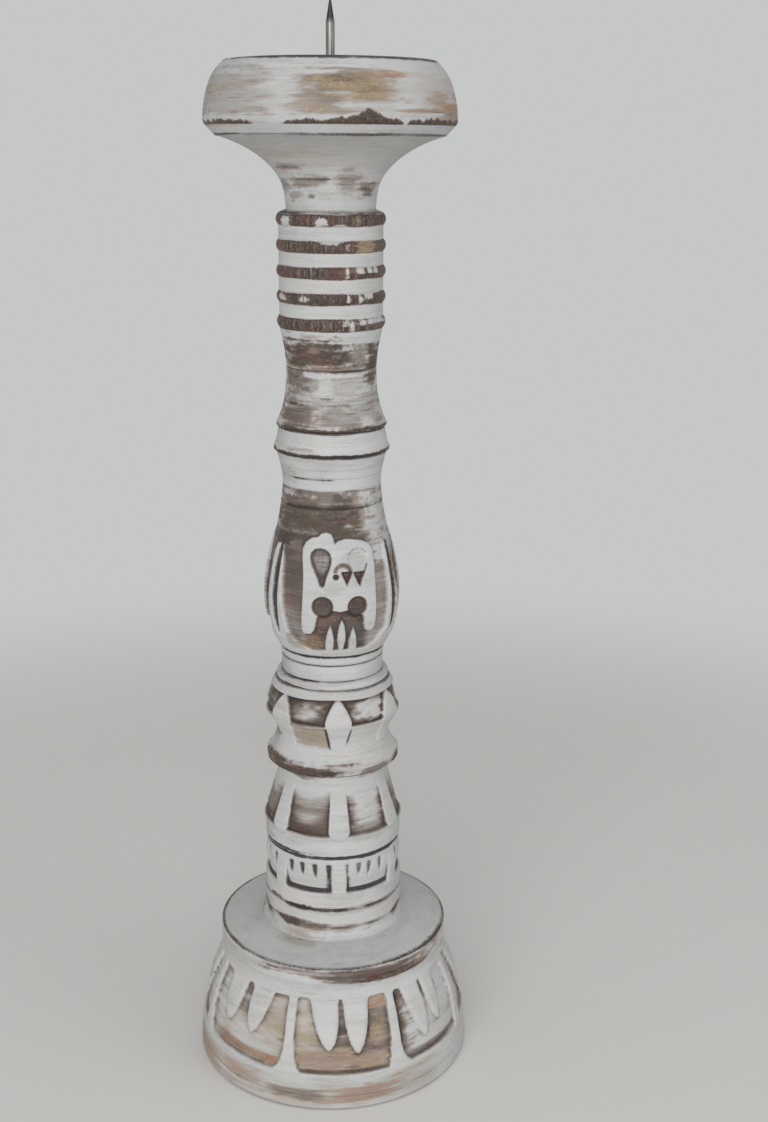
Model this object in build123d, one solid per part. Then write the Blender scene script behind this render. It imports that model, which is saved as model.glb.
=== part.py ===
from build123d import *
import os
from math import radians, sin

# Turned wooden blocks, from the floor up: height and largest radius of each
base_height = 67.0
base_radius = 63.6
toothed_height = 40.0
toothed_radius = 33.5
leaf_height = 39.0
leaf_radius = 32.0
lozenge_height = 39.0
lozenge_radius = 30.8
ring_height = 15.0
ring_radius = 25.3
vase_height = 89.0
vase_radius = 30.45
collar_height = 10.5
collar_radius = 25.2
neck_height = 91.0
neck_radius = 23.9
pan_height = 59.0
pan_radius = 52.5

# Half sections of the blocks as shares of radius and height, one row for each run of the outline:
# one point is a straight run to it, two make an arc, three or more a smooth curve
base_outline_shares = (
    ((0.988, 0.0),),
    ((1.0, 0.012),),
    ((0.997, 0.09), (0.973, 0.30), (0.912, 0.545), (0.844, 0.70), (0.813, 0.758)),
    ((0.815, 0.81), (0.830, 0.843)),
    ((0.830, 0.943),),
    ((0.826, 0.953), (0.816, 0.957)),
    ((0.527, 1.0),),
)
toothed_outline_shares = (
    ((1.0, 0.0),),
    ((0.943, 0.04), (0.922, 0.115)),
    ((0.949, 0.155),),
    ((0.949, 0.36),),
    ((0.940, 0.592), (0.946, 0.737), (0.922, 0.912), (0.913, 1.0)),
)
leaf_outline_shares = (
    ((0.953, 0.0),),
    ((0.972, 0.02),),
    ((0.975, 0.218),),
    ((0.999, 0.28), (0.995, 0.32)),
    ((0.803, 0.795),),
    ((0.793, 0.90), (0.84, 1.0)),
)
lozenge_outline_shares = (
    ((0.951, 0.0),),
    ((0.977, 0.02),),
    ((0.977, 0.09),),
    ((0.867, 0.223), (0.839, 0.323), (0.880, 0.438), (0.961, 0.554), (1.0, 0.641),
     (0.964, 0.792), (0.903, 0.91), (0.831, 1.0)),
)
ring_outline_shares = (
    ((0.972, 0.0),),
    ((1.0, 0.10), (0.925, 0.233)),
    ((0.889, 0.247),),
    ((0.897, 0.28),),
    ((0.901, 0.713),),
    ((0.877, 0.727),),
    ((0.917, 0.867), (0.877, 1.0)),
)
vase_outline_shares = (
    ((0.742, 0.0),),
    ((0.775, 0.007),),
    ((0.933, 0.117), (1.0, 0.275), (0.916, 0.484), (0.785, 0.637), (0.729, 0.753),
     (0.706, 0.843), (0.732, 0.916), (0.798, 1.0)),
)
collar_outline_shares = (
    ((0.976, 0.0),),
    ((1.0, 0.048),),
    ((1.0, 0.133),),
    ((0.960, 0.43), (0.933, 0.714), (0.913, 1.0)),
)
waist_outline_shares = (
    ((0.967, 0.0),),
    ((1.0, 0.007),),
    ((1.0, 0.016),),
    ((0.887, 0.093), (0.824, 0.187), (0.812, 0.247), (0.828, 0.335), (0.904, 0.445)),
)
pan_outline_shares = (
    ((0.360, 0.0),),
    ((0.362, 0.04), (0.392, 0.181), (0.488, 0.303), (0.669, 0.419), (0.912, 0.502)),
    ((0.908, 0.508),),
    ((0.922, 0.515),),
    ((0.992, 0.58),),
    ((1.0, 0.602),),
    ((0.983, 0.739), (0.939, 0.871), (0.895, 0.936), (0.836, 0.993)),
    ((0.823, 1.0),),
)

# Carving: depth of the grounds, width and depth of the scribed lines
ground_depth = 1.8
shallow_depth = 0.8
scribe_depth = 0.5
scribe_width = 0.7
base_scribe_shares = (0.09,)
toothed_scribe_shares = (0.37,)
vase_scribe_shares = (0.758, 0.89, 0.932)
waist_scribe_shares = (0.122, 0.154, 0.279)
cut_overrun = 5.0

# Base panels: the posts stand where the carver's eye put them, so their turns are uneven
base_post_turns = (-77.0, -25.0, 24.5, 66.5, 110.0, 153.0, 196.5, 240.0)
base_post_width = 5.0
panel_radius_share = 0.96
panel_bottom_share = 0.263
panel_top_share = 0.732
panel_corner_rise = 8.0
panel_corner_inset = 3.0
panel_top_width_share = 0.89
petal_width = 11.5
petal_length = 22.5
petal_gap = 1.5
petal_straight_share = 0.3
petal_belly_share = 0.36

# Drum panels: pillars, leaves and lozenges share one set of uneven turns
drum_turns = (0.0, 55.0, 117.0, 180.0, 243.0, 305.0)
pillar_width = 6.2
tooth_panel_bottom_share = 0.60
tooth_panel_top_share = 0.925
tooth_nick_length = 8.0
tooth_nick_width = 2.2
tooth_nick_places_share = (-0.33, 0.33)
leaf_top_width = 5.8
leaf_foot_width = 10.0
leaf_panel_bottom_share = 0.28
leaf_panel_top_share = 0.84
lozenge_width = 12.5
lozenge_tip_width = 3.0
lozenge_tail_width = 7.2
lozenge_panel_top_share = 0.897
lozenge_corner_share = 0.66
lozenge_ledge_share = 0.618
lozenge_lower_top_share = 0.595
lozenge_lower_bottom_share = 0.31

# Vase: three carved tablets in sunk fields, with a grooved pair of ribs between each two
tablet_count = 3
tablet_turn = 2.0
field_half_width = 22.5
tablet_half_width = 16.0
field_shares = ((-1.0, 0.15), (-0.55, 0.05), (0.55, 0.05), (1.0, 0.15), (1.0, 0.555),
                (0.66, 0.625), (0.0, 0.665), (-0.66, 0.625), (-1.0, 0.555))
tablet_edge_shares = ((-1.0, 0.30), (-1.0, 0.52), (-0.72, 0.597), (-0.42, 0.61), (-0.36, 0.64), (-0.22, 0.635),
                      (-0.14, 0.60), (0.15, 0.61), (0.72, 0.585), (1.0, 0.50), (1.0, 0.30))
tablet_foot_shares = ((1.0, 0.20), (0.88, 0.14), (0.70, 0.24), (0.22, 0.265), (0.0, 0.262), (-0.22, 0.265),
                      (-0.70, 0.24), (-0.88, 0.14), (-1.0, 0.20))
hole_radius = 4.2
hole_side_share = 0.51
upper_hole_share = 0.512
lower_hole_share = 0.297
stem_width = 3.0
stem_foot_share = 0.39
hook_radius = 2.1
hook_shares = ((-0.16, 0.43), (0.20, 0.43))
spear_width = 4.4
spear_foot_share = 0.03
spear_shares = ((-0.33, 0.20), (0.0, 0.226), (0.33, 0.18))
rib_groove_width = 2.6
rib_groove_shares = (0.15, 0.56)

# Beads of the ringed neck
bead_count = 5
bead_height = 4.9
bead_foot_share = 0.467033
bead_radius = 23.1
barrel_radius = 22.05
neck_top_radius = 19.4
neck_shoulder = 1.2

# Candle dish and steel spike, driven up through the pan from below
dish_radius = 39.0
dish_floor_radius = 37.5
dish_depth = 5.0
spike_radius = 1.8
spike_root_radius = 2.0
spike_length = 69.5
spike_point_length = 10.0
spike_tip_radius = 0.25
spike_head_radius = 4.0
spike_head_thickness = 1.6
spike_clearance = 0.05

# Glued dowels at the joints of the column
dowel_radius = 5.0
dowel_depth = 12.0
dowel_chamfer = 0.8
glue_clearance = 0.1
glue_gap = 0.5

# Turned tenon, wood screw, washer and felt under the base
tenon_radius = 14.0
tenon_length = 18.0
counterbore_radius = 9.0
counterbore_depth = 22.0
washer_radius = 8.0
washer_thickness = 1.2
screw_radius = 2.5
screw_core_radius = 1.9
screw_bite = 26.0
screw_thread_pitch = 2.4
screw_tip_length = 4.0
screw_head_radius = 4.6
screw_head_height = 3.2
screw_slot_width = 1.2
screw_slot_depth = 1.6
screw_clearance = 0.1
felt_radius = 56.0
felt_thickness = 2.0
felt_recess_depth = 1.5
felt_clearance = 0.3


def runs_in_mm(outline_shares, radius, height):
    """Outline shares as points: distance from the axis and height above the block's foot."""
    return [[(across * radius, up * height) for across, up in run] for run in outline_shares]


def turned(runs, inset=0.0):
    """Solid of revolution through the outline's runs, with every radius drawn in by the inset."""
    runs = [[(across - inset, up) for across, up in run] for run in runs]
    here = runs[0][0]
    edges = [Line((0, here[1]), here)]
    for run in runs[1:]:
        makers = {1: Line, 2: ThreePointArc}
        edges.append(makers.get(len(run), Spline)(here, *run))
        here = run[-1]
    edges.append(Line(here, (0, here[1])))
    edges.append(Line((0, here[1]), (0, runs[0][0][1])))
    return revolve(Plane.XZ * make_face(edges), Axis.Z)


def disc(radius, thickness, foot=0.0):
    """Plain round solid standing on the given height."""
    return Pos(0, 0, foot) * Cylinder(radius, thickness, align=(Align.CENTER, Align.CENTER, Align.MIN))


def polygon(points):
    """Flat face with straight sides."""
    return make_face(Polyline(*points, close=True))


def lens(width, foot, top):
    """Upright pointed oval, such as a gouge leaves."""
    middle = (foot + top) / 2
    left = ThreePointArc((0, foot), (-width / 2, middle), (0, top))
    right = ThreePointArc((0, top), (width / 2, middle), (0, foot))
    return make_face([left, right])


def carved(block, ground, face, radius, turns):
    """The block with the face sunk in to the ground, at each turn round the axis."""
    cutter = extrude(Plane.XZ.offset(radius / 2) * face, amount=radius / 2 + cut_overrun) - ground
    return block - [Rot(0, 0, turn) * cutter for turn in turns]


def scribed(block, runs, radius, height, scribe_shares):
    """The block with fine lines cut round it on the lathe."""
    line_floor = turned(runs, scribe_depth)
    for share in scribe_shares:
        block -= disc(radius + cut_overrun, scribe_width, share * height) - line_floor
    return block


def gaps_between(turns):
    """Middle turn and half angle of the gap from each turn to the next one round."""
    following = [*turns[1:], turns[0] + 360]
    return [((a + b) / 2, radians(b - a) / 2) for a, b in zip(turns, following)]


def bored(block, foot, depth):
    """The block with a dowel hole drilled up from the given height."""
    return block - disc(dowel_radius + glue_clearance, depth, foot)


def dowel(length):
    """Wooden pin with chamfered ends, standing on zero height."""
    pin = disc(dowel_radius, length)
    return chamfer(pin.edges().filter_by(GeomType.CIRCLE), dowel_chamfer)


def petal():
    """Hanging petal whose root runs into the band above the panel."""
    root = panel_top_share * base_height + cut_overrun
    waist = panel_top_share * base_height - petal_straight_share * petal_length
    tip = panel_top_share * base_height - petal_length
    half = petal_width / 2
    belly = petal_belly_share * petal_width
    edges = [
        Line((half, root), (-half, root)),
        Line((-half, root), (-half, waist)),
        ThreePointArc((-half, waist), (-belly, (waist + tip) / 2), (0, tip)),
        ThreePointArc((0, tip), (belly, (waist + tip) / 2), (half, waist)),
        Line((half, waist), (half, root)),
    ]
    return make_face(edges)


def base_panel(half_angle):
    """Panel between two posts, with flared lower corners and two hanging petals left standing."""
    half = panel_radius_share * base_radius * sin(half_angle) - base_post_width / 2
    foot = panel_bottom_share * base_height
    top = panel_top_share * base_height
    right = [(half - panel_corner_inset, foot), (half, foot + panel_corner_rise), (panel_top_width_share * half, top)]
    left = [(-across, up) for across, up in reversed(right)]
    side = (petal_width + petal_gap) / 2
    return polygon(right + left) - [Pos(side, 0) * petal(), Pos(-side, 0) * petal()]


def make_base():
    runs = runs_in_mm(base_outline_shares, base_radius, base_height)
    block = scribed(turned(runs), runs, base_radius, base_height, base_scribe_shares)
    ground = turned(runs, ground_depth)
    for middle, half_angle in gaps_between(base_post_turns):
        block = carved(block, ground, base_panel(half_angle), base_radius, [middle])
    block -= disc(tenon_radius + glue_clearance, tenon_length + glue_gap, base_height - tenon_length - glue_gap)
    block -= disc(felt_radius + felt_clearance, felt_recess_depth)
    block -= disc(counterbore_radius, counterbore_depth, felt_recess_depth)
    return block - disc(screw_radius + screw_clearance, base_height)


def make_toothed_drum():
    runs = runs_in_mm(toothed_outline_shares, toothed_radius, toothed_height)
    block = scribed(turned(runs), runs, toothed_radius, toothed_height, toothed_scribe_shares)
    foot = tooth_panel_bottom_share * toothed_height
    top = tooth_panel_top_share * toothed_height
    face_radius = toothed_outline_shares[-1][1][0] * toothed_radius
    ramp = turned([[(face_radius - ground_depth, foot)], [(face_radius, top)], [(face_radius, toothed_height)]])
    ramp += disc(face_radius - ground_depth, foot)
    nick_ground = turned(runs, ground_depth)
    for middle, half_angle in gaps_between(drum_turns):
        half = face_radius * sin(half_angle) - pillar_width / 2
        panel = polygon([(-half, foot), (half, foot), (half, top), (-half, top)])
        block = carved(block, ramp, panel, toothed_radius, [middle])
        nick = lens(tooth_nick_width, top - tooth_nick_length, top)
        nicks = Sketch() + [Pos(place * half, 0) * nick for place in tooth_nick_places_share]
        block = carved(block, nick_ground, nicks, toothed_radius, [middle])
    block += disc(tenon_radius, tenon_length, -tenon_length)
    block -= disc(screw_radius + screw_clearance, screw_bite + glue_gap, -tenon_length)
    return bored(block, toothed_height - dowel_depth - glue_gap, dowel_depth + glue_gap)


def make_leaf_drum():
    runs = runs_in_mm(leaf_outline_shares, leaf_radius, leaf_height)
    block = turned(runs)
    foot = leaf_panel_bottom_share * leaf_height
    top = leaf_panel_top_share * leaf_height
    foot_radius = leaf_outline_shares[3][0][0] * leaf_radius
    top_radius = leaf_outline_shares[4][0][0] * leaf_radius
    ramp = turned([[(foot_radius - ground_depth, foot)], [(top_radius, top)], [(top_radius, leaf_height)]])
    ramp += disc(foot_radius - ground_depth, foot)
    for middle, half_angle in gaps_between(drum_turns):
        low = foot_radius * sin(half_angle) - leaf_foot_width / 2
        high = top_radius * sin(half_angle) - leaf_top_width / 2
        panel = polygon([(-low, foot), (low, foot), (high, top), (-high, top)])
        block = carved(block, ramp, panel, leaf_radius, [middle])
    block = bored(block, 0, dowel_depth + glue_gap)
    return bored(block, leaf_height - dowel_depth - glue_gap, dowel_depth + glue_gap)


def make_lozenge_drum():
    runs = runs_in_mm(lozenge_outline_shares, lozenge_radius, lozenge_height)
    block = turned(runs)
    ground = turned(runs, ground_depth)
    shallow_ground = turned(runs, shallow_depth)
    top = lozenge_panel_top_share * lozenge_height
    corner = lozenge_corner_share * lozenge_height
    ledge = lozenge_ledge_share * lozenge_height
    lower_top = lozenge_lower_top_share * lozenge_height
    lower_foot = lozenge_lower_bottom_share * lozenge_height
    top_radius = lozenge_outline_shares[3][6][0] * lozenge_radius
    waist_radius = lozenge_outline_shares[3][1][0] * lozenge_radius
    for middle, half_angle in gaps_between(drum_turns):
        wide = lozenge_radius * sin(half_angle) - lozenge_width / 2
        tip = top_radius * sin(half_angle) - lozenge_tip_width / 2
        tail = waist_radius * sin(half_angle) - lozenge_tail_width / 2
        upper = polygon([(-wide, ledge), (wide, ledge), (wide, corner), (tip, top), (-tip, top), (-wide, corner)])
        lower = polygon([(-wide, lower_top), (-tail, lower_foot), (tail, lower_foot), (wide, lower_top)])
        block = carved(block, ground, upper, lozenge_radius, [middle])
        block = carved(block, shallow_ground, lower, lozenge_radius, [middle])
    block = bored(block, 0, dowel_depth + glue_gap)
    return bored(block, lozenge_height - dowel_depth - glue_gap, dowel_depth + glue_gap)


def make_neck_ring():
    block = turned(runs_in_mm(ring_outline_shares, ring_radius, ring_height))
    return bored(block, 0, ring_height)


def tablet_face():
    """Sunk field with the standing tablet, its keyholes, hooks and feet, and three spears."""
    field = polygon([(across * field_half_width, up * vase_height) for across, up in field_shares])
    edge = [(across * tablet_half_width, up * vase_height) for across, up in tablet_edge_shares + tablet_foot_shares]
    tablet = polygon(edge)
    side = hole_side_share * tablet_half_width
    stem_length = (upper_hole_share - stem_foot_share) * vase_height
    stem_middle = (upper_hole_share + stem_foot_share) / 2 * vase_height
    for across in (-side, side):
        tablet -= Pos(across, upper_hole_share * vase_height) * Circle(hole_radius)
        tablet -= Pos(across, stem_middle) * Rectangle(stem_width, stem_length)
        tablet -= Pos(across, lower_hole_share * vase_height) * Circle(hole_radius)
    for across, up in hook_shares:
        tablet -= Pos(across * tablet_half_width, up * vase_height) * Circle(hook_radius)
    spear_foot = spear_foot_share * vase_height
    spears = [Pos(across * tablet_half_width, 0) * lens(spear_width, spear_foot, up * vase_height)
              for across, up in spear_shares]
    return field - tablet - spears


def make_vase():
    runs = runs_in_mm(vase_outline_shares, vase_radius, vase_height)
    block = scribed(turned(runs), runs, vase_radius, vase_height, vase_scribe_shares)
    ground = turned(runs, ground_depth)
    turns = [tablet_turn + copy * 360 / tablet_count for copy in range(tablet_count)]
    block = carved(block, ground, tablet_face(), vase_radius, turns)
    groove = lens(rib_groove_width, rib_groove_shares[0] * vase_height, rib_groove_shares[1] * vase_height)
    block = carved(block, ground, groove, vase_radius, [turn + 180 / tablet_count for turn in turns])
    block = bored(block, 0, dowel_depth + glue_gap)
    return bored(block, vase_height - dowel_depth - glue_gap, dowel_depth + glue_gap)


def make_collar():
    block = turned(runs_in_mm(collar_outline_shares, collar_radius, collar_height))
    return bored(block, 0, collar_height)


def make_ringed_neck():
    runs = runs_in_mm(waist_outline_shares, neck_radius, neck_height)
    lines = scribed(turned(runs), runs, neck_radius, neck_height, waist_scribe_shares)
    low_bead = bead_foot_share * neck_height + bead_height / 2
    top_bead = neck_height - neck_shoulder - bead_height / 2
    bead_pitch = (top_bead - low_bead) / (bead_count - 1)
    barrel = [[runs[-1][-1]]]
    for bead in range(bead_count):
        middle = low_bead + bead * bead_pitch
        barrel.append([(barrel_radius, middle - bead_height / 2)])
        barrel.append([(bead_radius, middle), (barrel_radius, middle + bead_height / 2)])
    barrel.append([(neck_top_radius, neck_height)])
    block = lines + turned(barrel)
    block = bored(block, 0, dowel_depth + glue_gap)
    return bored(block, neck_height - dowel_depth - glue_gap, dowel_depth + glue_gap)


def make_pan():
    block = turned(runs_in_mm(pan_outline_shares, pan_radius, pan_height))
    dish = Cone(dish_floor_radius, dish_radius, dish_depth, align=(Align.CENTER, Align.CENTER, Align.MIN))
    block -= Pos(0, 0, pan_height - dish_depth) * dish
    block = bored(block, 0, pan_bore_depth)
    return block - disc(spike_root_radius + spike_clearance, pan_height)


def make_spike():
    """Nail with its head at the bottom, thicker where the pan grips it, standing on its head's underside."""
    root_top = spike_head_thickness + pan_height - pan_bore_depth - dish_depth
    tip = spike_head_thickness + spike_length
    return turned([
        [(spike_head_radius, 0)],
        [(spike_head_radius, spike_head_thickness)],
        [(spike_root_radius, spike_head_thickness)],
        [(spike_root_radius, root_top)],
        [(spike_radius, root_top)],
        [(spike_radius, tip - spike_point_length)],
        [(spike_tip_radius, tip)],
    ])


def make_screw():
    """Wood screw standing on its slotted head, with ringed threads where it bites the drum's tenon."""
    under_head = screw_head_height
    bite_foot = under_head + washer_thickness + base_web + glue_gap
    thread_top = bite_foot + screw_bite - screw_tip_length
    runs = [[(screw_head_radius, 0)], [(screw_head_radius, under_head)], [(screw_radius, under_head)]]
    up = bite_foot
    while up + screw_thread_pitch < thread_top:
        runs.append([(screw_radius, up)])
        runs.append([(screw_core_radius, up + screw_thread_pitch / 2)])
        up += screw_thread_pitch
    runs.append([(screw_core_radius, thread_top)])
    runs.append([(0.0, thread_top + screw_tip_length)])
    slot = Box(screw_head_radius * 2, screw_slot_width, screw_slot_depth, align=(Align.CENTER, Align.CENTER, Align.MIN))
    return turned_to_point(runs) - slot


def turned_to_point(runs):
    """Solid of revolution whose straight-run outline ends in a point on the axis."""
    points = [point for run in runs for point in run]
    return revolve(Plane.XZ * polygon([(0, points[0][1]), *points]), Axis.Z)


def make_washer():
    return disc(washer_radius, washer_thickness) - disc(screw_radius + screw_clearance, washer_thickness)


def make_felt():
    return disc(felt_radius, felt_thickness)


# Heights of the stack, each block standing on the one below
pan_bore_depth = dowel_depth + glue_gap + spike_head_thickness
base_foot = felt_thickness - felt_recess_depth
base_web = base_height - felt_recess_depth - counterbore_depth - tenon_length - glue_gap
washer_foot = base_foot + felt_recess_depth + counterbore_depth - washer_thickness
toothed_foot = base_foot + base_height
leaf_foot = toothed_foot + toothed_height
lozenge_foot = leaf_foot + leaf_height
ring_foot = lozenge_foot + lozenge_height
vase_foot = ring_foot + ring_height
collar_foot = vase_foot + vase_height
neck_foot = collar_foot + collar_height
pan_foot = neck_foot + neck_height

pieces = {
    "felt_pad": make_felt(),
    "base_plinth": Pos(0, 0, base_foot) * make_base(),
    "base_washer": Pos(0, 0, washer_foot) * make_washer(),
    "base_screw": Pos(0, 0, washer_foot - screw_head_height) * make_screw(),
    "toothed_drum": Pos(0, 0, toothed_foot) * make_toothed_drum(),
    "leaf_dowel": Pos(0, 0, leaf_foot - dowel_depth) * dowel(2 * dowel_depth),
    "leaf_drum": Pos(0, 0, leaf_foot) * make_leaf_drum(),
    "lozenge_dowel": Pos(0, 0, lozenge_foot - dowel_depth) * dowel(2 * dowel_depth),
    "lozenge_drum": Pos(0, 0, lozenge_foot) * make_lozenge_drum(),
    "neck_ring": Pos(0, 0, ring_foot) * make_neck_ring(),
    "vase_dowel": Pos(0, 0, ring_foot - dowel_depth) * dowel(ring_height + 2 * dowel_depth),
    "carved_vase": Pos(0, 0, vase_foot) * make_vase(),
    "collar_ring": Pos(0, 0, collar_foot) * make_collar(),
    "collar_dowel": Pos(0, 0, collar_foot - dowel_depth) * dowel(collar_height + 2 * dowel_depth),
    "ringed_neck": Pos(0, 0, neck_foot) * make_ringed_neck(),
    "pan_dowel": Pos(0, 0, pan_foot - dowel_depth) * dowel(2 * dowel_depth),
    "candle_pan": Pos(0, 0, pan_foot) * make_pan(),
    "pricket_spike": Pos(0, 0, pan_foot + pan_bore_depth - spike_head_thickness) * make_spike(),
}

os.makedirs("parts", exist_ok=True)
for name, piece in pieces.items():
    export_step(piece, f"parts/{name}.step")
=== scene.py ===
import math

import bmesh
import bpy
import numpy as np
from mathutils import Matrix, Vector
from mathutils.geometry import interpolate_bezier


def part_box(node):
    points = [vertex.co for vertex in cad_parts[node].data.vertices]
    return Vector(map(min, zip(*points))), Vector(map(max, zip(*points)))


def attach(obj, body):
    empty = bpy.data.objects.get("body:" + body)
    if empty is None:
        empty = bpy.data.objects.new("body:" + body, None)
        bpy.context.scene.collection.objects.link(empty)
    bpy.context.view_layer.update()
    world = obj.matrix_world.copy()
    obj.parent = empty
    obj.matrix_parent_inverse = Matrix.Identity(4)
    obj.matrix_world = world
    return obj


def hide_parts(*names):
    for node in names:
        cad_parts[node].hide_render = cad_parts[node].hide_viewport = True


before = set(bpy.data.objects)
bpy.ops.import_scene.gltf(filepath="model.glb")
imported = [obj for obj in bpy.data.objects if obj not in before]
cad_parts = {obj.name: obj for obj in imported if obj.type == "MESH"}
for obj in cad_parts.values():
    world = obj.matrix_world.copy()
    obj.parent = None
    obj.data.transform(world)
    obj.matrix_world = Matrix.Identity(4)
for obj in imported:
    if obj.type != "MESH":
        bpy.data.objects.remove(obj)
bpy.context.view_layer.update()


# Base plinth: the wide foot of the stand, turned from one block of hardwood and carved by hand into eight
# sunk panels with two hanging petals in each. Like every block above it, it was stained dark, whitewashed
# and rubbed back with a rag, which bares the edges and empties the hollows.
mm = 0.001
all_round = 400.0
base_low, base_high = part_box("base_plinth")
base_foot, base_radius = base_low.z / mm, base_high.x / mm
base_height = base_high.z / mm - base_foot
base_outline = (
    ((0.988, 0.0),),
    ((1.0, 0.012),),
    ((0.997, 0.09), (0.973, 0.30), (0.912, 0.545), (0.844, 0.70), (0.813, 0.758)),
    ((0.815, 0.81), (0.830, 0.843)),
    ((0.830, 0.943),),
    ((0.826, 0.953), (0.816, 0.957)),
    ((0.527, 1.0),),
)
base_posts = (-76.0, -25.0, 23.2, 66.0, 110.0, 153.0, 196.5, 240.0)
base_post_width = 5.0
panel_side = ((1.0, 1.0, 17.0), (0.5, 1.0, 18.8), (0.2, 1.0, 22.0), (0.05, 1.0, 26.5), (0.0, 0.98, 34.0),
              (0.0, 0.93, 42.0), (0.0, 0.88, 50.0))
petal_shares = ((0.0, 0.0), (0.24, 0.05), (0.52, 0.17), (0.76, 0.36), (0.93, 0.62), (1.0, 0.9), (1.0, 1.25))
petal_top = 50.0
panels = (((0.04, 0.18), ((-7.6, -9.8, 6.1, 29.3), (8.2, 6.0, 5.9, 28.6))),
          ((0.12, 0.05), ((-8.0, -6.5, 6.2, 27.4), (6.0, 6.9, 5.9, 25.8))),
          ((0.24, 0.05), ((-8.7, -5.0, 5.3, 24.0), (2.6, 4.8, 4.4, 28.2))),
          ((0.12, 0.14), ((-6.6, -6.0, 5.2, 26.0), (5.6, 6.4, 5.4, 27.0))))
ground_depth = 1.8
scribe_width, scribe_depth = 0.9, 0.5


def profile(runs, radius, height, foot, row):
    """Points up a turned outline, about a row apart, from its shares of a block's radius and height.
    A run of one point is a straight cut to it, a longer run one smooth sweep."""
    points = [Vector((runs[0][0][0] * radius, foot + runs[0][0][1] * height))]
    for run in runs[1:]:
        knots = [points[-1], *(Vector((out * radius, foot + up * height)) for out, up in run)]
        spans = [(after - before).normalized() for before, after in zip(knots, knots[1:])]
        leans = [(a + b).normalized() for a, b in zip(spans, spans[1:])]
        first = -leans[0].reflect(spans[0]) if leans else spans[0]
        last = -leans[-1].reflect(spans[-1]) if leans else spans[-1]
        leans = [first, *leans, last]
        for start, end, leave, arrive in zip(knots, knots[1:], leans, leans[1:]):
            reach = (end - start).length
            count = max(2, round(reach / row) + 1)
            handles = start + leave * reach / 3, end - arrive * reach / 3
            points += interpolate_bezier(start, *handles, end, count)[1:]
    return points


def scribed(points, heights):
    """The profile with a fine line cut in at each height."""
    for height in heights:
        low, high = height - scribe_width / 2, height + scribe_width / 2
        out = np.interp((low, height, high), [p.y for p in points], [p.x for p in points])
        cut = [Vector((out[0], low)), Vector((out[1] - scribe_depth, height)), Vector((out[2], high))]
        points = [p for p in points if p.y < low] + cut + [p for p in points if p.y > high]
    return points


def smooth(low, high, values):
    """Eased step from 0 at low to 1 at high."""
    share = np.clip((values - low) / (high - low), 0, 1)
    return share * share * (3 - 2 * share)


def edge_distance(outline, across, up):
    """Distance of each point from a closed outline, positive inside it."""
    inside = np.zeros(across.shape, bool)
    nearest = np.full(across.shape, np.inf)
    for (x0, y0), (x1, y1) in zip(outline, (*outline[1:], outline[0])):
        wide, tall = x1 - x0, y1 - y0
        share = np.clip(((across - x0) * wide + (up - y0) * tall) / (wide * wide + tall * tall), 0, 1)
        nearest = np.minimum(nearest, np.hypot(across - x0 - share * wide, up - y0 - share * tall))
        if tall:
            inside ^= ((y0 > up) != (y1 > up)) & (across < x0 + (up - y0) * wide / tall)
    return np.where(inside, nearest, -nearest)


def mirrored(side, width=1.0, middle=0.0):
    """Closed outline from its right side, going up."""
    right = [(middle + across * width, up) for across, up in side]
    left = [(middle - across * width, up) for across, up in reversed(side) if across]
    return right + left


def wander(chance, *ways):
    """Slow uneven drift of a hand tool, between -1 and 1, over the given lengths."""
    drift = 0
    for _ in range(4):
        speeds = chance.uniform(-1, 1, len(ways))
        phase = chance.uniform(0, math.tau)
        drift = drift + np.sin(phase + sum(s * way for s, way in zip(speeds, ways))) / 4
    return drift


def cloud(chance, turn, up, wide, tall):
    """Smooth noise between -1 and 1 round a block, in cells of the given turn and height."""
    columns = round(360 / wide)
    across, above = turn % 360 / 360 * columns, (up - up.min()) / tall
    column, row = across.astype(int), above.astype(int)
    grid = chance.uniform(-1, 1, (row.max() + 2, columns))
    aside, lift = smooth(0, 1, across - column), smooth(0, 1, above - row)
    here, beyond = column % columns, (column + 1) % columns
    lower = grid[row, here] * (1 - aside) + grid[row, beyond] * aside
    upper = grid[row + 1, here] * (1 - aside) + grid[row + 1, beyond] * aside
    return lower * (1 - lift) + upper * lift


def gaps_between(turns):
    """Middle turn and half angle of the gap from each turn to the next one round."""
    return [((a + b) / 2, math.radians(b - a) / 2) for a, b in zip(turns, (*turns[1:], turns[0] + 360))]


wear_marks = ("rub", "thin", "seam", "warm", "pores")


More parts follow.
